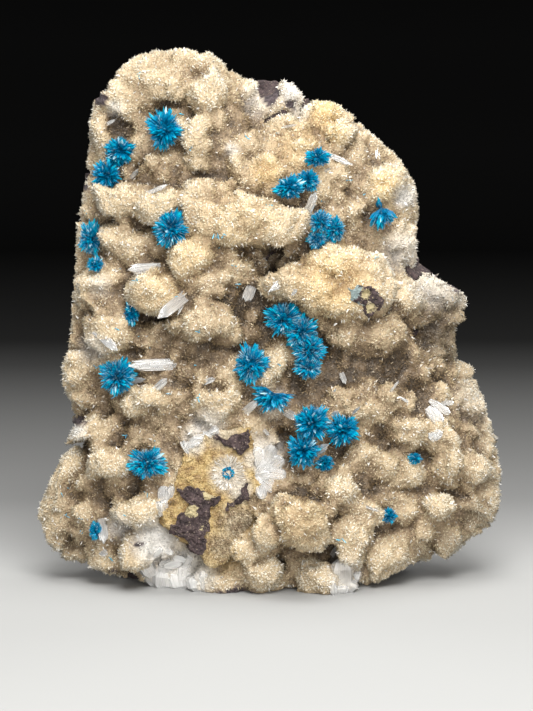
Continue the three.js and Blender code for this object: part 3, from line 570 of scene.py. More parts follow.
# ---------------------------------------------------------------- materials
class Material:
    """A node material, built up from its principled shader."""

    def __init__(self, name, **settings):
        self.data = bpy.data.materials.new(name)
        self.data.use_nodes = True
        self.tree = self.data.node_tree
        self.shader = next(n for n in self.tree.nodes if n.type == "BSDF_PRINCIPLED")
        for key, value in settings.items():
            self.shader.inputs[key.replace("_", " ")].default_value = value
        self.place = self.add("ShaderNodeTexCoord").outputs["Object"]

    def add(self, kind, **settings):
        node = self.tree.nodes.new(kind)
        for key, value in settings.items():
            setattr(node, key, value)
        return node

    def link(self, output, node_input):
        self.tree.links.new(output, node_input)

    def put(self, socket, value):
        if isinstance(value, bpy.types.NodeSocket):
            self.link(value, socket)
        else:
            socket.default_value = (*value, 1) if isinstance(value, tuple) else value

    def field(self, name):
        return self.add("ShaderNodeAttribute", attribute_name=name).outputs["Fac"]

    def noise(self, size, detail=3.0, roughness=0.6, place=None):
        node = self.add("ShaderNodeTexNoise")
        node.inputs["Scale"].default_value = 1 / size
        node.inputs["Detail"].default_value = detail
        node.inputs["Roughness"].default_value = roughness
        self.link(place or self.place, node.inputs["Vector"])
        return node.outputs["Fac"]

    def mottle(self, most, *settings):
        """Noise from -most to most."""
        return self.curve(self.noise(*settings), 0.3, 0.7, -most, most)

    def patches(self, low, high, *settings):
        """0 where noise is below low and 1 where it is above high."""
        return self.curve(self.noise(*settings), low, high)

    def cells(self, size):
        """The distance from the middle of the nearest cell of a foam."""
        node = self.add("ShaderNodeTexVoronoi")
        node.inputs["Scale"].default_value = 1 / size
        self.link(self.place, node.inputs["Vector"])
        return node.outputs["Distance"]

    def ramp(self, fac, stops):
        node = self.add("ShaderNodeValToRGB")
        ramp = node.color_ramp
        while len(ramp.elements) < len(stops):
            ramp.elements.new(0.5)
        for element, (at, colour) in zip(ramp.elements, stops):
            element.position = at
            element.color = (*colour, 1)
        self.link(fac, node.inputs["Fac"])
        return node.outputs["Color"]

    def curve(self, fac, low, high, to_low=0.0, to_high=1.0):
        node = self.add("ShaderNodeMapRange")
        for key, value in (("From Min", low), ("From Max", high), ("To Min", to_low), ("To Max", to_high)):
            node.inputs[key].default_value = value
        self.link(fac, node.inputs["Value"])
        return node.outputs["Result"]

    def mix(self, fac, a, b, blend="MIX"):
        node = self.add("ShaderNodeMix", data_type="RGBA", blend_type=blend)
        sockets = [s for s in node.inputs if s.type == "RGBA"]
        for socket, value in zip(sockets, (a, b)):
            self.put(socket, value)
        self.put(node.inputs["Factor"], fac)
        return next(s for s in node.outputs if s.type == "RGBA")

    def math(self, operation, a, b):
        node = self.add("ShaderNodeMath", operation=operation)
        self.put(node.inputs[0], a)
        self.put(node.inputs[1], b)
        return node.outputs["Value"]

    def colour(self, value):
        self.put(self.shader.inputs["Base Color"], value)

    def soften(self, name, share):
        """Bends the shading towards a stored direction, as light scattered in small clear crystals does."""
        own = self.add("ShaderNodeNewGeometry").outputs["Normal"]
        broad = self.add("ShaderNodeAttribute", attribute_name=name).outputs["Vector"]
        mixed = self.add("ShaderNodeMix", data_type="VECTOR")
        mixed.inputs["Factor"].default_value = share
        sockets = [s for s in mixed.inputs if s.type == "VECTOR" and s.name in "AB"]
        for socket, value in zip(sockets, (own, broad)):
            self.link(value, socket)
        even = self.add("ShaderNodeVectorMath", operation="NORMALIZE")
        self.link(next(s for s in mixed.outputs if s.type == "VECTOR"), even.inputs[0])
        self.link(even.outputs["Vector"], self.shader.inputs["Normal"])

    def bump(self, height, distance, strength=1.0):
        node = self.add("ShaderNodeBump")
        node.inputs["Distance"].default_value = distance
        node.inputs["Strength"].default_value = strength
        self.link(height, node.inputs["Height"])
        self.link(node.outputs["Normal"], self.shader.inputs["Normal"])


HONEY = (0.72, 0.55, 0.27)
WHITE = (0.70, 0.68, 0.64)
OCHRE = (0.50, 0.35, 0.15)
BASALT = (0.075, 0.052, 0.055)
BASALT_PIT = (0.015, 0.011, 0.011)
SHADED = (0.42, 0.43, 0.44)
DARK_SPECK = (0.09, 0.055, 0.03)
PALE_SPECK = (0.34, 0.27, 0.20)
CRUMBS = {"grey_and_shade": (0.25, 0.31, 0.30), "pale": (0.47, 0.39, 0.22)}
DEEP_BLUE = (0.0, 0.13, 0.28)
PALE_BLUE = (0.50, 0.72, 0.76)
OCHRE_MOST = 0.75  # how far the strongest ochre zone and the strongest white one hide the base colour
WHITE_MOST = 0.8


def stained(material, base):
    """The base colour, tinted in honey and ochre zones, whitened in white ones and dulled with painted shade
    in grey-and-shade ones.
    """
    honey = material.mix(material.field("honey"), base, HONEY, "SOFT_LIGHT")
    ochre = material.mix(material.math("MULTIPLY", material.field("ochre"), OCHRE_MOST), honey, OCHRE)
    white = material.mix(material.math("MULTIPLY", material.field("white"), WHITE_MOST), ochre, WHITE)
    # painted shade: the colour is multiplied by SHADED in the grey-and-shade zones
    return material.mix(material.field("grey_and_shade"), white, SHADED, "MULTIPLY")


def near_greys(tones, green, blue):
    """Stops of a ramp, whose green and blue are these shares of their red."""
    return [(at, (tone, tone * green, tone * blue)) for at, tone in tones]


def crust_material():
    """The crust under its druse, darker in the hollows with painted shade, and bare rock where the druse has
    come off.
    """
    material = Material("crust_ground", Roughness=0.65)
    tone = material.math("ADD", material.field("height"), material.mottle(0.2, 2 * MM))
    base = material.ramp(tone, [
        (0.0, (0.045, 0.030, 0.016)), (0.35, (0.15, 0.10, 0.055)), (0.6, (0.30, 0.217, 0.128)),
        (1.0, (0.46, 0.355, 0.22)),
    ])
    rock = material.mix(material.patches(0.35, 0.7, 0.8 * MM, 4.0), BASALT, BASALT_PIT)
    material.colour(material.mix(material.field("bare"), stained(material, base), rock))
    material.bump(material.cells(0.6 * MM), 0.3 * MM)
    return material.data


def druse_tone(material):
    """Light on the crests and dark in the hollows, partly painted light and shade, mottled, and a little
    different on each crystal.
    """
    own = material.math("ADD", material.field("height"), material.field("tone"))
    return material.math("ADD", own, material.mottle(0.16, 1.8 * MM, 2.0))


def druse_material():
    """The milky small crystals of the druse."""
    material = Material("druse", Roughness=0.42, IOR=1.5)
    base = material.ramp(druse_tone(material), [
        (0.0, (0.085, 0.052, 0.024)), (0.3, (0.24, 0.167, 0.089)), (0.55, (0.44, 0.34, 0.197)),
        (0.8, (0.615, 0.512, 0.343)), (1.0, (0.76, 0.685, 0.54)),
    ])
    material.colour(stained(material, base))
    material.soften("slope", 0.68)
    return material.data


def glint_material():
    """The clear crystals among them, which glint."""
    material = Material("druse_glint", Roughness=0.15, IOR=1.55, Transmission_Weight=0.3)
    base = material.ramp(druse_tone(material), [(0.0, (0.53, 0.43, 0.30)), (0.7, (0.90, 0.865, 0.79))])
    material.colour(stained(material, base))
    return material.data


def basalt_material():
    """Dark rock with pits and specks, under pale and grey crumbs where they are stored."""
    material = Material("basalt", Roughness=0.9)
    patches = material.noise(1.6 * MM, 6.0, 0.75)
    base = material.ramp(patches, [
        (0.3, (0.010, 0.007, 0.007)), (0.45, (0.045, 0.029, 0.029)), (0.62, (0.10, 0.066, 0.064)),
        (0.85, (0.24, 0.18, 0.155)),
    ])
    colour = material.mix(material.patches(0.62, 0.70, 0.45 * MM, 2.0), base, PALE_SPECK)
    torn = material.mottle(0.5, 0.9 * MM, 4.0, 0.7)
    for name, crumbs in CRUMBS.items():
        share = material.curve(material.math("ADD", material.field(name), torn), 0.45, 0.6)
        colour = material.mix(share, colour, crumbs)
    material.colour(colour)
    rough = material.math("ADD", material.noise(0.6 * MM, 6.0, 0.75), material.cells(0.9 * MM))
    material.bump(rough, 0.45 * MM)
    return material.data


def ochre_material():
    """The plate's ochre, beige where druse has grown over it and white under the fibres."""
    material = Material("ochre_druse", Roughness=0.55)
    patches = material.math("ADD", material.noise(2.6 * MM, 5.0, 0.7), material.field("tone"))
    base = material.ramp(patches, [
        (0.25, (0.08, 0.05, 0.025)), (0.36, (0.30, 0.19, 0.075)), (0.5, (0.45, 0.32, 0.13)),
        (0.62, (0.52, 0.40, 0.205)), (0.82, (0.62, 0.54, 0.36)),
    ])
    druse = material.ramp(patches, [
        (0.3, (0.19, 0.13, 0.075)), (0.48, (0.38, 0.30, 0.19)), (0.7, (0.57, 0.485, 0.35)),
    ])
    beige = material.mix(material.field("beige"), base, druse)
    speckled = material.mix(material.patches(0.66, 0.72, 0.7 * MM), beige, DARK_SPECK)
    material.colour(material.mix(material.field("white"), speckled, WHITE))
    material.bump(material.cells(0.45 * MM), 0.3 * MM)
    return material.data


def cavansite_material():
    """Blue with painted shade, near black deep in the ball and lighter towards the tips, which are pale where
    dust and painted glints are stored.
    """
    material = Material("cavansite", Roughness=0.3, IOR=1.5, Specular_IOR_Level=0.22)
    # painted shade: the blue runs from near black at the crystals' feet, deep in the ball, to light at the
    # tips
    base = material.ramp(material.field("reach"), [
        (0.0, (0.0, 0.016, 0.036)), (0.4, (0.0, 0.10, 0.19)), (0.75, (0.0, 0.24, 0.385)),
        (1.0, (0.0, 0.46, 0.61)),
    ])
    shade = material.mix(material.patches(0.35, 0.65, 0.8 * MM, 2.0), base, DEEP_BLUE)
    material.colour(material.mix(material.field("dust_and_glint"), shade, PALE_BLUE))
    return material.data


def stilbite_material(name, transmission, hazy, clear, groove_depth):
    """Clear crystals with fine grooves along them, which catch the light."""
    material = Material(name, Roughness=0.22, IOR=1.5, Transmission_Weight=transmission)
    along = material.add("ShaderNodeAttribute", attribute_name="groove").outputs["Vector"]
    grooves = material.noise(1.0, 2.0, 0.5, along)
    material.colour(material.ramp(grooves, near_greys([(0.35, hazy), (0.62, clear)], 0.985, 0.95)))
    material.bump(grooves, groove_depth)
    return material.data


# ---------------------------------------------------------------- crystals
# A pointed splinter: a three-sided foot and a tip
SHARD = np.array([(1.0, 0.0, 0.0), (-0.5, 0.87, 0.0), (-0.5, -0.87, 0.0), (0.12, 0.05, 1.0)])
SHARD_FACES = np.array([(0, 2, 1), (0, 1, 3), (1, 2, 3), (2, 0, 3)])
# A tabular prism: foot, shoulder and tip, wide along x and thin along y
LATH = np.array([
    (-0.4, -0.4, 0.0), (0.4, -0.4, 0.0), (0.4, 0.4, 0.0), (-0.4, 0.4, 0.0),
    (-1.0, -1.0, 0.7), (1.0, -1.0, 0.7), (1.0, 1.0, 0.7), (-1.0, 1.0, 0.7),
    (0.0, 0.0, 1.0),
])
LATH_FACES = np.array([
    (0, 2, 1), (0, 3, 2), (0, 1, 5), (0, 5, 4), (1, 2, 6), (1, 6, 5), (2, 3, 7), (2, 7, 6),
    (3, 0, 4), (3, 4, 7), (4, 5, 8), (5, 6, 8), (6, 7, 8), (7, 4, 8),
])


def side_vectors(axes, turns):
    """Two vectors square to each axis and to each other, turned about it."""
    helper = np.where(np.abs(axes[:, 2:]) < 0.9, (0.0, 0.0, 1.0), (1.0, 0.0, 0.0))
    one = unit(np.cross(axes, helper))
    two = np.cross(axes, one)
    cos, sin = np.cos(turns)[:, None], np.sin(turns)[:, None]
    return one * cos + two * sin, two * cos - one * sin


def crystals(shape, faces, roots, axes, sizes, turns):
    """One shape at many roots, as points and faces. Sizes are half width, half thickness and length."""
    across, through = side_vectors(axes, turns)
    points = (
        roots[:, None]
        + shape[None, :, :1] * (across * sizes[:, :1])[:, None]
        + shape[None, :, 1:2] * (through * sizes[:, 1:2])[:, None]
        + shape[None, :, 2:] * (axes * sizes[:, 2:])[:, None]
    )
    starts = np.arange(len(roots))[:, None, None] * len(shape)
    return keep_above_floor(points.reshape(-1, 3)), (faces[None] + starts).reshape(-1, 3)


def crystal_mesh(name, shape, faces, *placing):
    """The same as a mesh with flat faces."""
    return mesh_from(name, *crystals(shape, faces, *placing), flat=True)


def tilted(axes, spread, rng):
    """Unit vectors that lean away from the given ones at random."""
    return unit(axes + spread * rng.normal(size=axes.shape))


# ---------------------------------------------------------------- the crust
CRUST_VOXEL = 0.86 * MM
SKIN_ROUNDS = 2  # of smoothing after a remesh
BEHIND = -15 * MM  # how far behind the face to look for the surface nearest to a place that shows none
FACING_START, FACING_RISE = 0.2, 2  # where a surface counts as turned to the front, and how soon in full
# Pushes that take the solid's lumps out of round: (how far in metres, over what distance)
WARPS = [(1.5 * MM, 10 * MM), (0.6 * MM, 4 * MM)]
BROAD_ROUNDS = 24  # of averaging, to tell a lump or a hollow from the crust round it
HOLLOW_FILL = 0.6  # share of a hollow between lumps that the druse fills
LUMP_DROP = 0.3  # share of a lump's height that it hides
GROUND_DROP = 0.5 * MM  # how far the face is lowered before the lumps are put on it
LUMP_SPREAD = 1.08  # the lumps' size, as a share of what shows of them
# The same pushes, once the lumps are on
LUMP_WARPS = [(1.0 * MM, 6 * MM), (0.5 * MM, 2.6 * MM)]
BUMPS = [(0.45, 5.5), (0.55, 2.7)]  # bumps on them: (height, size) in mm
CRUST_GRAIN = (0.25, 1.4)  # the same of their grain
DRUSE_LAYER = 0.2 * MM  # the crust's ground lies this far under its solid, and the druse fills the rest
SMALL_LUMP_SEED = 17
SMALL_LUMP_COUNT = 480
SMALL_LUMP_RADII = (1.2, 2.2)  # mm
SMALL_LUMP_SUNK = (0.1, 0.5)  # how deep their middles lie, as shares of the radius
SMALL_LUMP_STRETCH = (0.85, 1.15)
PROUD_RISE = 2.0  # mm; lumps that rise as much are left without small ones
PROUD_MIDDLE = 0.8  # up to this share of their radii


def surface_point(tree, col, row):
    """The point of a surface that is seen at a grid place, or the nearest one beside it."""
    towards = Vector(on_face(col, row) - EYE).normalized()
    hit = tree.ray_cast(Vector(EYE), towards)[0]
    if hit is None:
        hit = tree.find_nearest(Vector(on_face(col, row, BEHIND)))[0]
    return np.array(hit)


def highest_point(tree, col, row, across, down):
    """The point seen at a grid place, moved out as far as the highest of its four neighbours."""
    spots = [(0, 0), (across, 0), (-across, 0), (0, down), (0, -down)]
    hits = [surface_point(tree, col + right, row + below) for right, below in spots]
    outs = [hit @ OUT for hit in hits]
    return hits[0] + OUT * min(max(outs) - outs[0], (across + down) * CELL)


def ball_part(centre, radii):
    """A round ball, stretched along the face frame's axes, as points and faces."""
    points, faces = ROUND_BALL
    return in_face_frame(points, centre, radii), faces


def radii_in_metres(half_width, half_height, spread):
    """Three radii of a ball that is as deep as it is wide and high on average."""
    return np.array((half_width, half_height, (half_width + half_height) / 2)) * CELL * spread


def lump_ball(tree, col, row, half_width, half_height, rise):
    """A round lump that stands a little above the surface behind it."""
    radii = radii_in_metres(half_width, half_height, LUMP_SPREAD)
    return ball_part(surface_point(tree, col, row) + OUT * (rise * MM - radii[2]), radii)


def eased_solid():
    """The crust's solid without its edges, its hollows part filled and its lumps a little lower: its skin,
    the new points, their normals and how far each faces the front."""
    skin = fused("crust_solid", [node_part("drusy_crust")], CRUST_VOXEL, SKIN_ROUNDS)
    normals = normals_of(skin)
    points = warped(points_of(skin), WARPS)
    above = heights_over(neighbours_mean(skin, points, BROAD_ROUNDS), points, normals)
    eased = above * np.where(above < 0, HOLLOW_FILL, LUMP_DROP)
    facing = np.clip((normals @ OUT + FACING_START) * FACING_RISE, 0, 1)
    return skin, points - normals * (eased + GROUND_DROP * facing)[:, None], normals, facing


def warped(points, warps):
    """Points after each of some pushes in turn."""
    for push, size in warps:
        points = points + push * drift(points, size)
    return points


def heights_over(broad, points, normals):
    """How far points stand out from a broader form, along their normals."""
    return np.einsum("ij,ij->i", points - broad, normals)


def crust_ground():
    """The crust's skin: round lumps on the dented skin of its solid, with bumps of several sizes."""
    base, points, normals, facing = eased_solid()
    tree = tree_of(node_part("basalt_host"), (points, triangles_of(base)))
    lumps = [lump_ball(tree, *lump) for lump in LUMPS] + small_lumps(points, normals, facing)
    move_points(base, points - normals * (dent_depth(points) * facing)[:, None])
    skin = fused("crust_ground", [part_of(base), *lumps], CRUST_VOXEL, SKIN_ROUNDS)
    points = warped(points_of(skin), LUMP_WARPS)
    move_points(skin, points)
    normals = normals_of(skin)
    bumps = sum(height * cell_bumps(points + size, size * MM) for height, size in BUMPS)
    height, size = CRUST_GRAIN
    bumps += height * grain(points, size * MM)
    move_points(skin, keep_above_floor(points + normals * (bumps * MM - DRUSE_LAYER)[:, None]))
    return skin


def small_lumps(points, normals, facing):
    """Little balls all over the front, which fill the space between the big ones."""
    rng = np.random.default_rng(SMALL_LUMP_SEED)
    shares = facing / facing.sum()
    proud = np.array([lump[:4] for lump in LUMPS if lump[4] >= PROUD_RISE])
    parts = []
    for k in rng.choice(len(points), SMALL_LUMP_COUNT, replace=False, p=shares):
        radius = rng.uniform(*SMALL_LUMP_RADII) * MM
        centre = points[k] - normals[k] * radius * rng.uniform(*SMALL_LUMP_SUNK)
        off = np.concatenate(places_of(points[k:k + 1])) - proud[:, :2]
        on_lump = (np.linalg.norm(off / proud[:, 2:], axis=1) < PROUD_MIDDLE).any()
        if centre[2] > radius and not on_lump:
            parts.append(ball_part(centre, radius * rng.uniform(*SMALL_LUMP_STRETCH, 3)))
    return parts


# ---------------------------------------------------------------- the druse
CREST_ROUNDS = 60  # of averaging, to tell a crest from the crust round it
CREST_HEIGHT = 1.8 * MM  # of a crest above that average, which counts as 1
# Lightness of level crust, what a crest adds to it and a hollow takes off, partly the druse's own paler
# crests and partly painted light and shade, and the least
LEVEL_TONE, CREST_LIGHT_AND_SHADE, LEAST_TONE = 0.55, 0.46, 0.03
BROWN_AND_SHADE_TONE = 0.36  # how much a brown zone takes off it, partly browner druse and partly painted shade
DRUSE_SEED = 3
DRUSE_PER_MM2 = 5.9
BACK_SHARE = 0.4  # of that density, where the crust turns away to the sides and back
TURNED_AWAY = -0.15  # share of a normal that points out of the face there, at most
DRUSE_BANDS = ["crown", "upper", "middle", "lower", "foot"]
DRUSE_FIELDS = ["height", "white", "honey", "ochre", "grey_and_shade"]
UV_ROWS = BASE_ROW + 20  # rows from the top of their map to its foot
LOWEST_DRUSE = 0.8 * MM
DRUSE_TUFT = 1.5 * MM  # across a tuft of the druse's crystals
TUFT_RISE = 0.30 * MM  # how far the middle of a tuft stands above its edge
TUFT_SPREAD = 0.9  # how far its crystals lean away from its middle
TUFT_TONE = 0.3  # how much lighter its middle is than its edge, about the tone at TUFT_MIDTONE of the way
TUFT_MIDTONE = 0.55
# Crystals of the druse, in mm: the usual length, its spread and limits, and the widths
DRUSE_LENGTH, LENGTH_SPREAD, LENGTH_LIMITS = 0.29, 0.3, (0.17, 0.6)
DRUSE_WIDTHS = (0.18, 0.35)
DRUSE_THINNESS = (0.5, 0.9)  # their thickness, as shares of the width
DRUSE_ROOT = 0.2 * MM  # how much longer they are, below the crust
DRUSE_SUNK = 0.25  # mm; how deep they start
ROOT_RISE = 0.4  # share of their rise that their roots have
DRUSE_LEAN = 0.5
TONE_SPREAD = 0.08
GLINT_SHARE = 0.035
WHITE_GLINTS = 0.14  # share more of them in the white zones
GLINT_SIZE = 1.35  # of the clear crystals among the druse, beside the others


def store_zones(skin):
    """How high each point stands above the smoothed crust, as a tone of painted light and shade, and its
    share in each zone of colour.
    """
    points = points_of(skin)
    broad = neighbours_mean(skin, points, CREST_ROUNDS)
    height = heights_over(broad, points, normals_of(skin)) / CREST_HEIGHT
    # painted light and shade: crests lighter and hollows darker, by how far each point stands above the
    # smoothed crust
    tone = np.clip(LEVEL_TONE + CREST_LIGHT_AND_SHADE * height, LEAST_TONE, 1)
    fields = {
        # the brown-and-shade zones darken the tone further, partly with painted shade
        "height": tone - BROWN_AND_SHADE_TONE * zone_share(points, BROWN_AND_SHADE_ZONES),
        "white": zone_share(points, WHITE_ZONES),
        "honey": zone_share(points, HONEY_ZONES),
        "ochre": zone_share(points, OCHRE_ZONES),
        "grey_and_shade": zone_share(points, GREY_AND_SHADE_ZONES),
        "bare": bare_share(points),
    }
    for name, values in fields.items():
        set_field(skin, name, values)
    return fields


def scatter(skin, density, rng):
    """Random places on a skin: a vertex of the triangle they lie on, the points and their normals."""
    points, normals, corners = points_of(skin), normals_of(skin), triangles_of(skin)
    a, b, c = (points[corners[:, k]] for k in range(3))
    area = np.linalg.norm(np.cross(b - a, c - a), axis=1) / 2
    facing = normals[corners[:, 0]] @ OUT
    share = np.where(facing > TURNED_AWAY, 1.0, BACK_SHARE)
    count = (area / MM**2 * density * share + rng.random(len(area))).astype(int)
    chosen = np.repeat(np.arange(len(area)), count)
    u, v = rng.random((2, len(chosen), 1))
    flip = u + v > 1
    u, v = np.where(flip, 1 - u, u), np.where(flip, 1 - v, v)
    at = a[chosen] * (1 - u - v) + b[chosen] * u + c[chosen] * v
    return corners[chosen, 0], at, normals[corners[chosen, 0]]


def druse_crystals(at, normals, glint, rng):
    """Crystals in tufts that stand up in their middles: roots, axes, sizes and turns, and their tones."""
    count = len(at)
    away = from_cell_middle(at, DRUSE_TUFT)
    inside = 1 - np.linalg.norm(away, axis=1)
    rise = TUFT_RISE * inside
    length = rng.lognormal(math.log(DRUSE_LENGTH), LENGTH_SPREAD, count).clip(*LENGTH_LIMITS) * MM + rise
    width = rng.uniform(*DRUSE_WIDTHS, count) * MM
    sizes = np.stack((width, width * rng.uniform(*DRUSE_THINNESS, count), length + DRUSE_ROOT), axis=1)
    sizes *= np.where(glint, GLINT_SIZE, 1.0)[:, None]
    axes = tilted(normals + TUFT_SPREAD * away, DRUSE_LEAN, rng)
    roots = at - normals * DRUSE_SUNK * MM + axes * rise[:, None] * ROOT_RISE
    turns = rng.uniform(0, 2 * math.pi, count)
    tones = rng.normal(0.0, TONE_SPREAD, count) + TUFT_TONE * (inside - TUFT_MIDTONE)
    return (roots, axes, sizes, turns), tones


def add_druse(skin, fields, materials):
    """Covers the crust with tufts of small crystals, in bands from the crown to the foot."""
    rng = np.random.default_rng(DRUSE_SEED)
    vertex, at, normals = scatter(skin, DRUSE_PER_MM2, rng)
    keep = (at[:, 2] > LOWEST_DRUSE) & (fields["bare"][vertex] < 0.5)
    vertex, at, normals = vertex[keep], at[keep], normals[keep]
    glint = rng.random(len(at)) < GLINT_SHARE + WHITE_GLINTS * fields["white"][vertex]
    placing, tones = druse_crystals(at, normals, glint, rng)
    order = np.argsort(-at[:, 2], kind="stable")
    for band, chosen in zip(DRUSE_BANDS, np.array_split(order, len(DRUSE_BANDS))):
        name = f"druse_{band}"
        mesh = crystal_mesh(name, SHARD, SHARD_FACES, *(values[chosen] for values in placing))
        for field in DRUSE_FIELDS:
            set_field(mesh, field, np.repeat(fields[field][vertex[chosen]], len(SHARD)))
        set_field(mesh, "tone", np.repeat(tones[chosen], len(SHARD)))
        set_directions(mesh, "slope", np.repeat(normals[chosen], len(SHARD), axis=0))
        finish_piece(add_object(name, mesh), materials, "crust")
        glinting = np.repeat(glint[chosen], len(SHARD_FACES)).astype(np.int32)
        mesh.polygons.foreach_set("material_index", glinting)
        planar_uv(mesh)


def planar_uv(mesh):
    """A map seen from the front of the face, which keeps thousands of small crystals on one sheet."""
    cols, rows = places_of(points_of(mesh))
    places = np.stack((cols / GRID_ROWS, 1 - rows / UV_ROWS), axis=1)
    corners = np.empty(len(mesh.loops), np.int32)
    mesh.loops.foreach_get("vertex_index", corners)
    layer = mesh.uv_layers.new(name="OFBake")
    layer.uv.foreach_set("vector", places[corners].astype(np.float32).ravel())


def finish_piece(obj, materials, slot, *nodes):
    """Gives a piece its materials, its body and the nodes that it stands for; its slot is not used."""
    for material in materials:
        obj.data.materials.append(material)
    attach(obj, "root")
    if nodes:
        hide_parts(*nodes)
    return obj


# ---------------------------------------------------------------- rock
HOST_VOXEL = 1.15 * MM
# Roughness of the rock: (height in mm, size, octaves)
HOST_ROUGH = [(0.7, 7 * MM, 4), (0.25, 1.6 * MM, 3)]
VESICLE_SIZE = 4.5 * MM  # from one to the next
VESICLE_START, VESICLE_DEPTH = 0.72, 4.0  # which part of each cell is open, and how steep it falls, in mm
FOOT_FADE = 2 * MM  # height over which the roughness fades to the flat base
HOST_DROP = 0.3 * MM  # how far the rock lies under its solid on average
SCAB_VOXEL = 0.26 * MM
SCAB_PIT, SCAB_GRAIN = 1.1 * MM, 1.1 * MM  # size of the scabs' pits and of their grain
SCAB_PIT_START = 0.3  # which part of each cell is open
SCAB_PIT_DEPTH, SCAB_ROUGH, SCAB_DROP = 0.9, 0.5, 0.15  # mm: of pits, of grain, and under the solid
# Pushes that tear the border of a scab: (how far in mm, over what distance in metres)
SCAB_TEARS = [(1.2, 2.2 * MM), (0.6, 1.0 * MM)]


def host_ground():
    """The host's skin: broken rock, coarse and fine, with round vesicles, down to its flat base."""
    skin = fused("basalt_host_rock", [node_part("basalt_host")], HOST_VOXEL, SKIN_ROUNDS)
    points, normals = points_of(skin), normals_of(skin)
    rough = sum(high * grain(points + k, *settings) for k, (high, *settings) in enumerate(HOST_ROUGH))
    vesicles = np.clip(cell_bumps(points + 2, VESICLE_SIZE) - VESICLE_START, 0, 1) * VESICLE_DEPTH
    push = (rough - vesicles) * MM * np.clip(points[:, 2] / FOOT_FADE, 0, 1) - HOST_DROP
    move_points(skin, keep_above_floor(points + normals * push[:, None]))
    return skin


def torn(points, pushes):
    """Points pushed about, but only along the face."""
    return points + pushes - (pushes @ OUT)[:, None] * OUT


# Zones of the scabs, as those of the crust: where pale and grey crumbs lie on them
SCAB_ZONES = {
    "pale": [
        (191, 511, 8, 0.9), (208, 495, 7, 0.9), (203, 528, 5, 0.5),
        (366, 294, 7, 0.8), (371, 308, 6, 0.9),
    ],
    "grey_and_shade": [(350, 290, 13, 1.0), (360, 304, 6, 0.4)],
}


def add_scabs(material):
    """The scabs of rock left on the crust and the plate, pitted and with ragged borders."""
    for name in [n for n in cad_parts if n.startswith("basalt_scab_")]:
        skin = fused(f"{name}_rock", [node_part(name)], SCAB_VOXEL, SKIN_ROUNDS)
        points, normals = points_of(skin), normals_of(skin)
        pits = np.clip(cell_bumps(points, SCAB_PIT) - SCAB_PIT_START, 0, 1)
        rough = SCAB_ROUGH * grain(points + 3, SCAB_GRAIN, 4)
        push = (rough - SCAB_PIT_DEPTH * pits - SCAB_DROP) * MM
        ragged = sum(drift(points, size) * far * MM for far, size in SCAB_TEARS)
        move_points(skin, torn(points + normals * push[:, None], ragged))
        for field, zones in SCAB_ZONES.items():
            set_field(skin, field, zone_share(points_of(skin), zones))
        finish_piece(add_object(f"{name}_rock", skin), [material], "basalt", name)


# ---------------------------------------------------------------- the ochre plate
PLATE_VOXEL = 0.36 * MM
PLATE_ROUNDS = 3  # of smoothing after its remesh
PLATE_TEAR, PLATE_TEAR_SIZE = 1.6, 4 * MM  # how far its border strays in mm, and over what distance
PLATE_BUMPS, PLATE_GRAIN = (0.35, 2.4 * MM), (0.3, 0.9 * MM)  # (height in mm, size)
OVERGROWTH = 4.2 * MM  # size of the lumps of druse on it
OVERGROWN, OVERGROWTH_RISE = 0.4, 0.8  # mm; how thick that druse is, and how far its lumps rise
PLATE_SEED = 5
PLATE_PER_MM2 = 12
PLATE_FRONT = 0.1  # share of a normal that points out of the face where druse grows on it, at least
PLATE_COARSER = 0.6  # how much larger its crystals are where it is grown over
# Crystals on it, in mm: the widths and the lengths
PLATE_WIDTHS, PLATE_LENGTHS = (0.12, 0.22), (0.3, 0.55)
PLATE_THINNESS = 0.8  # their thickness, as a share of the width
PLATE_SUNK = 0.15  # mm; how deep they start
PLATE_TONE, PLATE_TONE_SPREAD = -0.06, 0.1  # tone of the ground between them, and how theirs vary
# Its zones, as those of the crust: where white fibres lie on it, and where it is grown over with druse
PLATE_ZONES = {
    "white": [
        (228, 474, 19, 0.5), (240, 488, 14, 0.5), (222, 430, 20, 0.35), (194, 444, 12, 0.6),
        (252, 460, 10, 0.5),
    ],
    "beige": [(240, 524, 24, 1.0), (224, 546, 18, 0.9), (212, 560, 12, 0.4), (240, 500, 14, 0.5)],
}


def plate_ground():
    """The ochre plate's skin, ragged along its edge and grainy, and lumpy where druse has grown over it."""
    skin = fused("ochre_plate", [node_part("contact_plate")], PLATE_VOXEL, PLATE_ROUNDS)
    points, normals = points_of(skin), normals_of(skin)
    points = torn(points, drift(points, PLATE_TEAR_SIZE) * PLATE_TEAR * MM)
    (bump, bump_size), (rough, rough_size) = PLATE_BUMPS, PLATE_GRAIN
    bumps = bump * cell_bumps(points, bump_size) + rough * grain(points + 4, rough_size, 3)
    thick = OVERGROWN + OVERGROWTH_RISE * cell_bumps(points + 6, OVERGROWTH)
    lumps = zone_share(points, PLATE_ZONES["beige"]) * thick
    move_points(skin, points + normals * ((bumps + lumps) * MM)[:, None])
    return skin


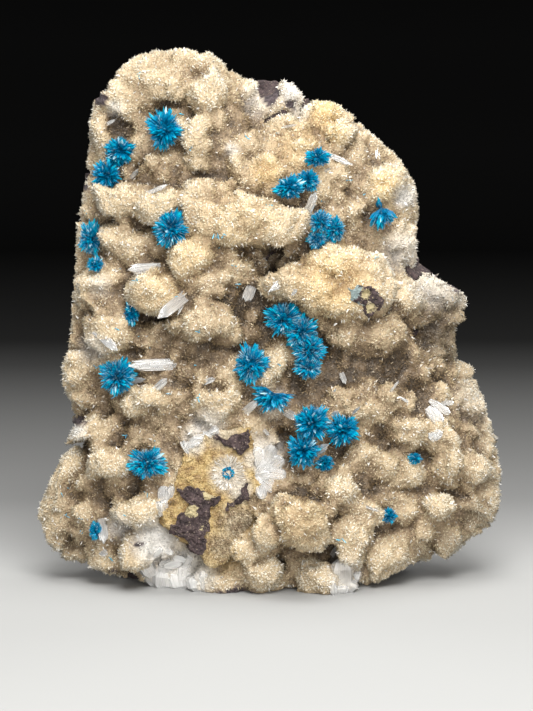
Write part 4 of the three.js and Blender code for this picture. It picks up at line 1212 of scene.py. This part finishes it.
def add_plate(skin, material):
    """The plate and the fine druse on it, which is coarser where it grows over the plate."""
    rng = np.random.default_rng(PLATE_SEED)
    vertex, at, normals = scatter(skin, PLATE_PER_MM2, rng)
    front = normals @ OUT > PLATE_FRONT
    vertex, at, normals = vertex[front], at[front], normals[front]
    count = len(at)
    fields = {name: zone_share(points_of(skin), zones) for name, zones in PLATE_ZONES.items()}
    coarse = 1 + PLATE_COARSER * fields["beige"][vertex]
    width = rng.uniform(*PLATE_WIDTHS, count) * coarse * MM
    length = rng.uniform(*PLATE_LENGTHS, count) * coarse * MM
    sizes = np.stack((width, width * PLATE_THINNESS, length), axis=1)
    turns = rng.uniform(0, 2 * math.pi, count)
    axes = tilted(normals, DRUSE_LEAN, rng)
    roots = at - normals * PLATE_SUNK * MM
    grains = crystal_mesh("ochre_druse", SHARD, SHARD_FACES, roots, axes, sizes, turns)
    for name, values in fields.items():
        set_field(grains, name, np.repeat(values[vertex], len(SHARD)))
        set_field(skin, name, values)
    set_field(grains, "tone", np.repeat(rng.normal(0.0, PLATE_TONE_SPREAD, count), len(SHARD)))
    set_field(skin, "tone", np.full(len(skin.vertices), PLATE_TONE))
    finish_piece(add_object("ochre_plate", skin), [material], "ochre_plate", "contact_plate")
    finish_piece(add_object("ochre_druse", grains), [material], "ochre_plate")


# ---------------------------------------------------------------- rosettes
ROSETTE_SEED = 100  # the first rosette's is one more, and so on
BALL_SPREAD = 1.2  # size of a ball, as a share of what shows of it
BALL_PROUD = 0.5  # middle of a ball above the crust, as a share of its radius
BALL_OUTER = 1.35  # how much of a ball has crystals: 2 would be all of it
# Tufts and spikes to a mm of radius, and share of the spikes with pale tips, of dense balls and of others
DENSE_BALL, OPEN_BALL = (11, 150, 0.55), (7, 75, 0.15)
LEAST_TUFTS = 14
PER_TUFT = 7  # laths
TUFT_LEAN, BALL_LEAN = 0.12, 0.16  # how far laths stray from their tuft, and tufts from an even spread
# How far out they reach, as shares of the radius: the tufts, each lath as a share of its tuft, the spikes
TUFT_REACH, LATH_REACH, SPIKE_REACH = (0.64, 1.22), (0.72, 1.0), (0.7, 0.98)
LATH_WIDTH, LATH_WIDTH_BY_SIZE, SPIKE_WIDTH = 0.06, 0.06, 0.13  # mm, and mm to a mm of radius
LATH_WIDTHS, SPIKE_WIDTHS = (0.7, 1.3), (0.7, 1.5)  # how those vary
SPIKE_START = 0.5  # share of the radius at which the spikes start
NEEDLE_THICKNESS = 0.55  # of laths and spikes, as a share of the width
LATH_PALE = 0.05  # share of the laths with pale tips, which are painted glints
PALE_TIP_SEED, PALE_TIP_START = 7, 0.5  # pale tips begin at this share of the reach


def add_rosettes(tree, material):
    for index, balls in enumerate(ROSETTES, 1):
        rng = np.random.default_rng(ROSETTE_SEED + index)
        parts = []
        for ball in balls:
            parts += ball_crystals(tree, ball, index in DENSE, rng)
        add_blue(f"cavansite_rosette_{index}", f"cavansite_{index}", parts, material)


def add_blue(name, node, parts, material):
    """Blue crystals as one piece, darkened at their feet with painted shade, and some with pale tips, partly
    dust and partly painted glints. Each part is a shape, its faces, its placing, how far out each crystal
    reaches and the share with pale tips."""
    rng = np.random.default_rng(PALE_TIP_SEED)
    pieces, along, dust_and_glint = [], [], []
    for shape, faces, placing, reach, share in parts:
        pieces.append(crystals(shape, faces, *placing))
        out = np.tile(shape[:, 2], len(reach)) * np.repeat(reach, len(shape))
        pale = np.repeat(rng.random(len(reach)) < share, len(shape))
        along.append(out)
        dust_and_glint.append(pale * np.clip((out - PALE_TIP_START) / (1 - PALE_TIP_START), 0, 1))
    mesh = mesh_from(name, *stacked(pieces), flat=True)
    set_field(mesh, "reach", np.concatenate(along))
    set_field(mesh, "dust_and_glint", np.concatenate(dust_and_glint))
    finish_piece(add_object(name, mesh), [material], "cavansite", node)


def ball_crystals(tree, ball, dense, rng):
    """The crystals of one ball: laths in pointed tufts that spread from its middle, and spikes over them."""
    col, row, half_width, half_height, *fan = ball
    radii = radii_in_metres(half_width, half_height, BALL_SPREAD)
    top = highest_point(tree, col, row, half_width / 2, half_height / 2)
    centre = top + OUT * BALL_PROUD * radii[2]
    size = radii[2] / MM
    tufts_per_mm, spikes_per_mm, pale = DENSE_BALL if dense else OPEN_BALL
    tufts = fanned(spread_directions(int(LEAST_TUFTS + tufts_per_mm * size), rng), fan)
    ways = tilted(np.repeat(tufts, PER_TUFT, axis=0), TUFT_LEAN, rng)
    tuft_reach = np.repeat(rng.uniform(*TUFT_REACH, len(tufts)), PER_TUFT)
    reach = tuft_reach * rng.uniform(*LATH_REACH, len(ways))
    width = (LATH_WIDTH + LATH_WIDTH_BY_SIZE * size) * rng.uniform(*LATH_WIDTHS, len(ways)) * MM
    laths = radial(centre, radii, ways, 0.0, reach, width, rng)
    lath_reach = laths[2][:, 2] / radii[2]
    ways = fanned(spread_directions(int(spikes_per_mm * size), rng), fan)
    reach = rng.uniform(*SPIKE_REACH, len(ways))
    width = SPIKE_WIDTH * rng.uniform(*SPIKE_WIDTHS, len(ways)) * MM
    spikes = radial(centre, radii, ways, SPIKE_START, reach, width, rng)
    return [(LATH, LATH_FACES, laths, lath_reach, LATH_PALE), (SHARD, SHARD_FACES, spikes, reach, pale)]


def fanned(ways, fan):
    """Only those directions that lie in the fan's spread, or all without a fan."""
    if not fan:
        return ways
    middle, half_spread = fan
    off = np.degrees(np.arctan2(ways[:, 1], ways[:, 0])) - middle
    return ways[np.abs((off + 180) % 360 - 180) < half_spread]


def radial(centre, radii, ways, start, end, width, rng):
    """Crystals on rays from a middle, between two shares of the way out: roots, axes, sizes and turns."""
    ends = in_face_frame(ways, 0.0, radii)
    length = np.linalg.norm(ends, axis=1) * (end - start)
    sizes = np.stack((width, width * NEEDLE_THICKNESS, length), axis=1)
    return centre + ends * start, unit(ends), sizes, rng.uniform(0, math.pi, len(ways))


def spread_directions(count, rng):
    """Directions spread evenly over the outer part of a ball, in the face frame, a little disordered."""
    steps = np.arange(count) + 0.5
    out = 1 - BALL_OUTER * steps / count
    around = steps * math.pi * (3 - math.sqrt(5))
    side = np.sqrt(1 - out**2)
    even = np.stack((side * np.cos(around), side * np.sin(around), out), axis=1)
    return tilted(even, BALL_LEAN, rng)


RING_SEED = 21
RING_LATHS, RING_FIBRES = 90, 190
LATH_SHAPE, FIBRE_SHAPE = (0.2, 0.9), (0.12, 0.25)  # half width in mm, and how far they stray
RING_REACH, RING_PALE = (0.8, 1.1), 0.1  # reach of its laths, which gives their blue, and share of pale tips
FIBRE_TONE = 0.45
RING_STARTS = 0.6  # share of the way out over which they start
RING_LIFT, RING_LENGTHS, RING_WIDTHS = (0.0, 0.4), (0.5, 1.1), (0.6, 1.3)  # how they vary
SHORTEST = 0.3 * MM


def add_ring(tree, blue, pale):
    """The worn rosette on the plate: a ring of small blue crystals, in white fibres that lie flat."""
    rng = np.random.default_rng(RING_SEED)
    laths = ring_laths(tree, RING_LATHS, RING[2:4], LATH_SHAPE, rng)
    parts = [(LATH, LATH_FACES, laths, rng.uniform(*RING_REACH, RING_LATHS), RING_PALE)]
    number = len(ROSETTES) + 1
    add_blue(f"cavansite_rosette_{number}", f"cavansite_{number}", parts, blue)
    placing = ring_laths(tree, RING_FIBRES, RING[3:5], FIBRE_SHAPE, rng)
    fibres = crystal_mesh("stilbite_fibres", LATH, LATH_FACES, *placing)
    set_field(fibres, "height", np.full(len(fibres.vertices), FIBRE_TONE))
    finish_piece(add_object("stilbite_fibres", fibres), [pale], "stilbite")


def ring_laths(tree, count, reach, shape, rng):
    """Laths that lie on the plate between two radii in cells and point away from the middle of the ring."""
    col, row = RING[:2]
    half_width, stray = shape
    angles = rng.uniform(0, 2 * math.pi, count)
    start = rng.uniform(reach[0], reach[0] + RING_STARTS * (reach[1] - reach[0]), count)
    places = zip(col + np.cos(angles) * start, row - np.sin(angles) * start)
    roots = np.array([surface_point(tree, *place) for place in places])
    ways = np.cos(angles)[:, None] * RIGHT + np.sin(angles)[:, None] * UP
    axes = tilted(unit(ways + OUT * rng.uniform(*RING_LIFT, (count, 1))), stray, rng)
    length = (reach[1] - start) * CELL * rng.uniform(*RING_LENGTHS, count)
    width = half_width * MM * rng.uniform(*RING_WIDTHS, count)
    sizes = np.stack((width, width / 2, length.clip(SHORTEST)), axis=1)
    return roots, axes, sizes, rng.uniform(0, math.pi, count)


# ---------------------------------------------------------------- blades and clusters
ROOT_DEPTH = 0.8 * MM  # how deep a blade starts below the surface
CLEARED_AT = (0.4, 0.7, 1.0)  # places along a blade where it clears the ground
STEEPEST = 0.6  # most that the ground may lift its tip, as a share of its length
# Crystals of a blade: (shift to the side, share of its length, half width), the first and last in its widths
BLADE_CRYSTALS = [(0.0, 1.0, 0.42), (-0.36, 0.82, 0.12), (0.33, 0.9, 0.15), (0.12, 0.93, 0.16)]
BLADE_SHIFT = (-0.02, 0.08)  # how far they lie above each other, in widths
BLADE_DEPTH = (0.12, 0.18)  # half their thickness, in widths
BLADE_LENGTHS = (0.93, 1.0)
GROOVE_WIDTH, GROOVE_LENGTH = 0.16 * MM, 3.0 * MM
# Section of a tabular crystal, in half widths and half thicknesses
SECTION = [(-1.0, 0.0), (-0.72, -1.0), (0.72, -1.0), (1.0, 0.0), (0.72, 1.0), (-0.72, 1.0)]
# Rings of points along a crystal: (share of its length, share of its width, share of its thickness)
CHISEL_TIP = [(0.0, 0.85, 1.0), (0.75, 1.0, 1.0), (1.0, 0.12, 0.35)]
ROUND_TIP = [(0.0, 0.5, 0.7), (0.3, 0.9, 1.0), (0.7, 1.0, 1.0), (0.9, 0.8, 0.8), (1.0, 0.4, 0.4)]
SHEAF_TOP = 4  # cells round a place of which the highest carries a sheaf
SHEAF_FAN = 0.35  # angle by which its outer crystals turn away, in radians
SHEAF_TURN = 0.06  # how much each crystal's angle varies
SHEAF_RISE = (-0.05, 0.3)  # how far its tips rise out of the face, as shares of its length
SHEAF_ROLL, LONE_ROLL = 0.6, 0.15  # most roll of a crystal among others, and of any
SHEAF_LENGTHS = (0.8, 1.05)
SHEAF_WIDTH = 1.6  # of all its crystals together, as a share of the place's width
SHEAF_STEP = 0.7  # how far apart they stand, as a share of it
SHEAF_DEPTHS = (0.35, 0.6)  # their half thickness, as shares of the place's half depth
BLADE_SEED, SMALL_BLADE_SEED = 200, 300


def blade_ends(tree, blade):
    """Root and tip of a blade: the tip is lifted until the blade clears the ground below it."""
    root_col, root_row, tip_col, tip_row, width, rise = blade
    root = surface_point(tree, root_col, root_row) - OUT * ROOT_DEPTH
    root_out = (root - ORIGIN) @ OUT
    length = math.hypot(tip_col - root_col, tip_row - root_row) * CELL
    lift = 0.0
    for share in CLEARED_AT:
        col = root_col + (tip_col - root_col) * share
        row = root_row + (tip_row - root_row) * share
        ground_out = (surface_point(tree, col, row) - ORIGIN) @ OUT
        lift = max(lift, (ground_out - root_out) / share)
    lift = min(lift, length * STEEPEST)
    tip = on_face(tip_col, tip_row, root_out + lift + rise * MM)
    return root, tip, width * CELL


def blade_crystals(tree, blade, rng):
    """A blade from a root to a pointed tip: tabular crystals of uneven length, side by side."""
    root, tip, width = blade_ends(tree, blade)
    along = unit(tip - root)
    side = unit(np.cross(along, OUT))
    flat = np.cross(side, along)
    length = np.linalg.norm(tip - root)
    parts = []
    for aside, reach, wide in BLADE_CRYSTALS:
        shift = side * aside * width + flat * width * rng.uniform(*BLADE_SHIFT)
        deep = width * rng.uniform(*BLADE_DEPTH)
        reached = length * reach * rng.uniform(*BLADE_LENGTHS)
        parts.append(tabular(root + shift, along, flat, reached, width * wide, deep))
    return parts


def tabular(root, along, flat, length, half_width, half_thick, rings=CHISEL_TIP):
    """One tabular crystal with bevelled sides: points, faces and where each point lies in the pattern of its
    grooves."""
    side = unit(np.cross(along, flat))
    flat = np.cross(side, along)
    points, grooves = [], []
    for at, wide, deep in rings:
        for x, y in SECTION:
            across, through = side * x * wide * half_width, flat * y * deep * half_thick
            points.append(root + along * at * length + across + through)
            place = (x * wide * half_width / GROOVE_WIDTH, at * length / GROOVE_LENGTH)
            grooves.append((*place, root[2] / GROOVE_WIDTH))
    count = len(SECTION)
    faces = []
    for ring in range(len(rings) - 1):
        for k in range(count):
            a, b = ring * count + k, ring * count + (k + 1) % count
            faces += [(a, b, b + count), (a, b + count, a + count)]
    last = (len(rings) - 1) * count
    for k in range(1, count - 1):
        faces += [(0, k + 1, k), (last, last + k, last + k + 1)]
    return keep_above_floor(np.array(points)), np.array(faces), np.array(grooves)


def sheaf(tree, crystal, count, rng):
    """Tabular crystals side by side that spread a little from one end, at a place of the ground."""
    col, row, half_length, half_width, half_depth, rise, turn = crystal
    middle = highest_point(tree, col, row, SHEAF_TOP, SHEAF_TOP) + OUT * (rise - half_depth) * MM
    several = count > 1
    parts = []
    for k in range(count):
        aside = (k + 0.5) / count * 2 - 1
        angle = math.radians(turn) - aside * SHEAF_FAN * several + rng.normal() * SHEAF_TURN
        along = unit(RIGHT * math.cos(angle) + UP * math.sin(angle) + OUT * rng.uniform(*SHEAF_RISE))
        side = unit(np.cross(OUT, along))
        roll = side * rng.uniform(-SHEAF_ROLL, SHEAF_ROLL) * several
        flat = unit(OUT + roll + side * rng.uniform(-LONE_ROLL, LONE_ROLL))
        length = 2 * half_length * CELL * rng.uniform(*SHEAF_LENGTHS)
        wide = half_width * CELL * (SHEAF_WIDTH / count if several else 1)
        root = middle - along * length / 2 - side * aside * half_width * CELL * SHEAF_STEP
        deep = half_depth * MM * rng.uniform(*SHEAF_DEPTHS)
        parts.append(tabular(root, along, flat, length, wide, deep, ROUND_TIP))
    return parts


def add_blades(name, parts, material, *nodes):
    """Tabular crystals as one piece."""
    mesh = mesh_from(name, *stacked([part[:2] for part in parts]), flat=True)
    set_directions(mesh, "groove", np.concatenate([part[2] for part in parts]))
    finish_piece(add_object(name, mesh), [material], "stilbite", *nodes)


def add_stilbite(tree, clear, milky):
    for index, blade in enumerate(BLADES, 1):
        parts = blade_crystals(tree, blade, np.random.default_rng(BLADE_SEED + index))
        add_blades(f"stilbite_lath_{index}", parts, clear, f"stilbite_blade_{index}")
    rng = np.random.default_rng(SMALL_BLADE_SEED)
    parts = [part for blade in SMALL_BLADES for part in blade_crystals(tree, blade, rng)]
    add_blades("stilbite_small_laths", parts, clear)
    for name, (count, places) in CLUSTERS.items():
        rng = np.random.default_rng(len(name))
        parts = [part for place in places for part in sheaf(tree, place, count, rng)]
        material = milky if name in MILKY_CLUSTERS else clear
        add_blades(f"stilbite_{name}", parts, material, f"stilbite_cluster_{name}")


FLECK_SEED = 400
FLECK_MOST = 3  # needles in one fleck
FLECK_SPREAD = 2  # cells that they stray
FLECK_PROUD = 0.25  # mm above the surface
FLECK_LIFT = 0.6  # how strongly they point out of the face
FLECK_WIDTH, FLECK_THICKNESS, FLECK_LENGTHS = 0.13 * MM, 0.07 * MM, (0.7, 1.7)  # the lengths in mm
FLECK_REACH, FLECK_PALE = 0.95, 0.25  # which give their blue


def add_flecks(tree, material):
    """Single blue needles and little sprays that lie on the crust."""
    rng = np.random.default_rng(FLECK_SEED)
    roots, axes, sizes = [], [], []
    for fleck in FLECKS:
        for _ in range(rng.integers(1, FLECK_MOST + 1)):
            place = np.array(fleck) + rng.uniform(-FLECK_SPREAD, FLECK_SPREAD, 2)
            roots.append(surface_point(tree, *place) + OUT * FLECK_PROUD * MM)
            axes.append(unit(rng.normal(size=3) + OUT * FLECK_LIFT))
            sizes.append((FLECK_WIDTH, FLECK_THICKNESS, rng.uniform(*FLECK_LENGTHS) * MM))
    count = len(roots)
    laths = (np.array(roots), np.array(axes), np.array(sizes), rng.uniform(0, math.pi, count))
    mesh = crystal_mesh("flecks", LATH, LATH_FACES, *laths)
    set_field(mesh, "reach", np.full(len(mesh.vertices), FLECK_REACH))
    set_field(mesh, "dust_and_glint", np.full(len(mesh.vertices), FLECK_PALE))
    finish_piece(add_object("cavansite_flecks", mesh), [material], "cavansite")


# ---------------------------------------------------------------- camera, floor and light
SENSOR = 36.0


def add_camera():
    data = bpy.data.cameras.new("camera")
    data.sensor_width = SENSOR
    data.lens = SENSOR * CAMERA_DISTANCE / (IMAGE_HEIGHT * CELL)
    data.clip_start, data.clip_end = 0.05, 20.0
    camera = add_object("camera", data)
    camera.matrix_world = Matrix((
        (RIGHT[0], UP[0], OUT[0], EYE[0]), (RIGHT[1], UP[1], OUT[1], EYE[1]),
        (RIGHT[2], UP[2], OUT[2], EYE[2]), (0, 0, 0, 1),
    ))
    bpy.context.scene.camera = camera


FLOOR_REACH = 6.0
FLOOR_FADE = 1.9  # distance behind the specimen up to which the floor changes
# Painted light on the floor, bright near the specimen and falling off to dark behind it: (share of
# FLOOR_FADE, brightness)
FLOOR_LIGHT_FALLOFF = [
    (0.0, 0.352), (0.022, 0.268), (0.052, 0.172), (0.082, 0.137), (0.135, 0.081), (0.175, 0.034),
    (0.205, 0.012), (0.34, 0.0037), (0.56, 0.012), (1.0, 0.020),
]


def add_floor():
    """A pale floor with painted light that falls off and darkens it away from the specimen."""
    corners = np.array([(-1, -1, 0), (1, -1, 0), (1, 1, 0), (-1, 1, 0)]) * FLOOR_REACH
    floor = add_object("floor", mesh_from("floor", corners, np.array([(0, 1, 2, 3)])))
    material = Material("floor", Roughness=1.0, Specular_IOR_Level=0.0)
    place = material.add("ShaderNodeSeparateXYZ")
    material.link(material.place, place.inputs[0])
    behind = material.curve(place.outputs["Y"], 0.0, FLOOR_FADE)
    material.colour(material.ramp(behind, near_greys(FLOOR_LIGHT_FALLOFF, 0.995, 0.965)))
    floor.data.materials.append(material.data)


# Soft lights: (place in metres, width in metres, watts)
LIGHTS = {
    "key": ((0.06, -0.52, 0.58), 0.36, 7.3),
    "top": ((0.02, -0.06, 0.66), 0.40, 4.0),
    "fill": ((0.10, -0.75, 0.04), 0.50, 6.0),
    "rim": ((0.42, 0.36, 0.30), 0.25, 1.3),
    "rim_left": ((-0.45, 0.30, 0.28), 0.25, 1.1),
}
LIGHT_TARGET = Vector((0, 0, 0.055))
SKY = 0.12


def add_studio():
    world = bpy.data.worlds.new("studio")
    bpy.context.scene.world = world
    world.use_nodes = True
    background = world.node_tree.nodes["Background"]
    background.inputs["Color"].default_value = (0.98, 0.98, 1.0, 1)
    background.inputs["Strength"].default_value = SKY
    for name, (place, size, watts) in LIGHTS.items():
        data = bpy.data.lights.new(name, "AREA")
        data.size = size
        data.energy = watts
        light = add_object(name, data)
        light.location = place
        light.rotation_euler = (LIGHT_TARGET - light.location).to_track_quat("-Z", "Y").to_euler()
    bpy.context.scene.view_settings.view_transform = "Standard"


# ---------------------------------------------------------------- the specimen
add_camera()
add_floor()
add_studio()

basalt = basalt_material()
ground = crust_ground()
host = host_ground()
for _ in range(2):
    fit_to_outline([ground, host])
ground_fields = store_zones(ground)
finish_piece(add_object("basalt_host_rock", host), [basalt], "basalt", "basalt_host")
finish_piece(add_object("crust_ground", ground), [crust_material()], "crust", "drusy_crust")
glint = glint_material()
add_druse(ground, ground_fields, [druse_material(), glint])
plate = plate_ground()
add_plate(plate, ochre_material())
add_scabs(basalt)

surface = tree_of(part_of(ground), part_of(plate))
cavansite = cavansite_material()
clear_stilbite = stilbite_material("stilbite_clear", 0.7, 0.58, 0.93, 0.12 * MM)
milky_stilbite = stilbite_material("stilbite_milky", 0.66, 0.68, 0.94, 0.06 * MM)
add_rosettes(surface, cavansite)
add_ring(surface, cavansite, glint)
add_stilbite(surface, clear_stilbite, milky_stilbite)
add_flecks(surface, cavansite)
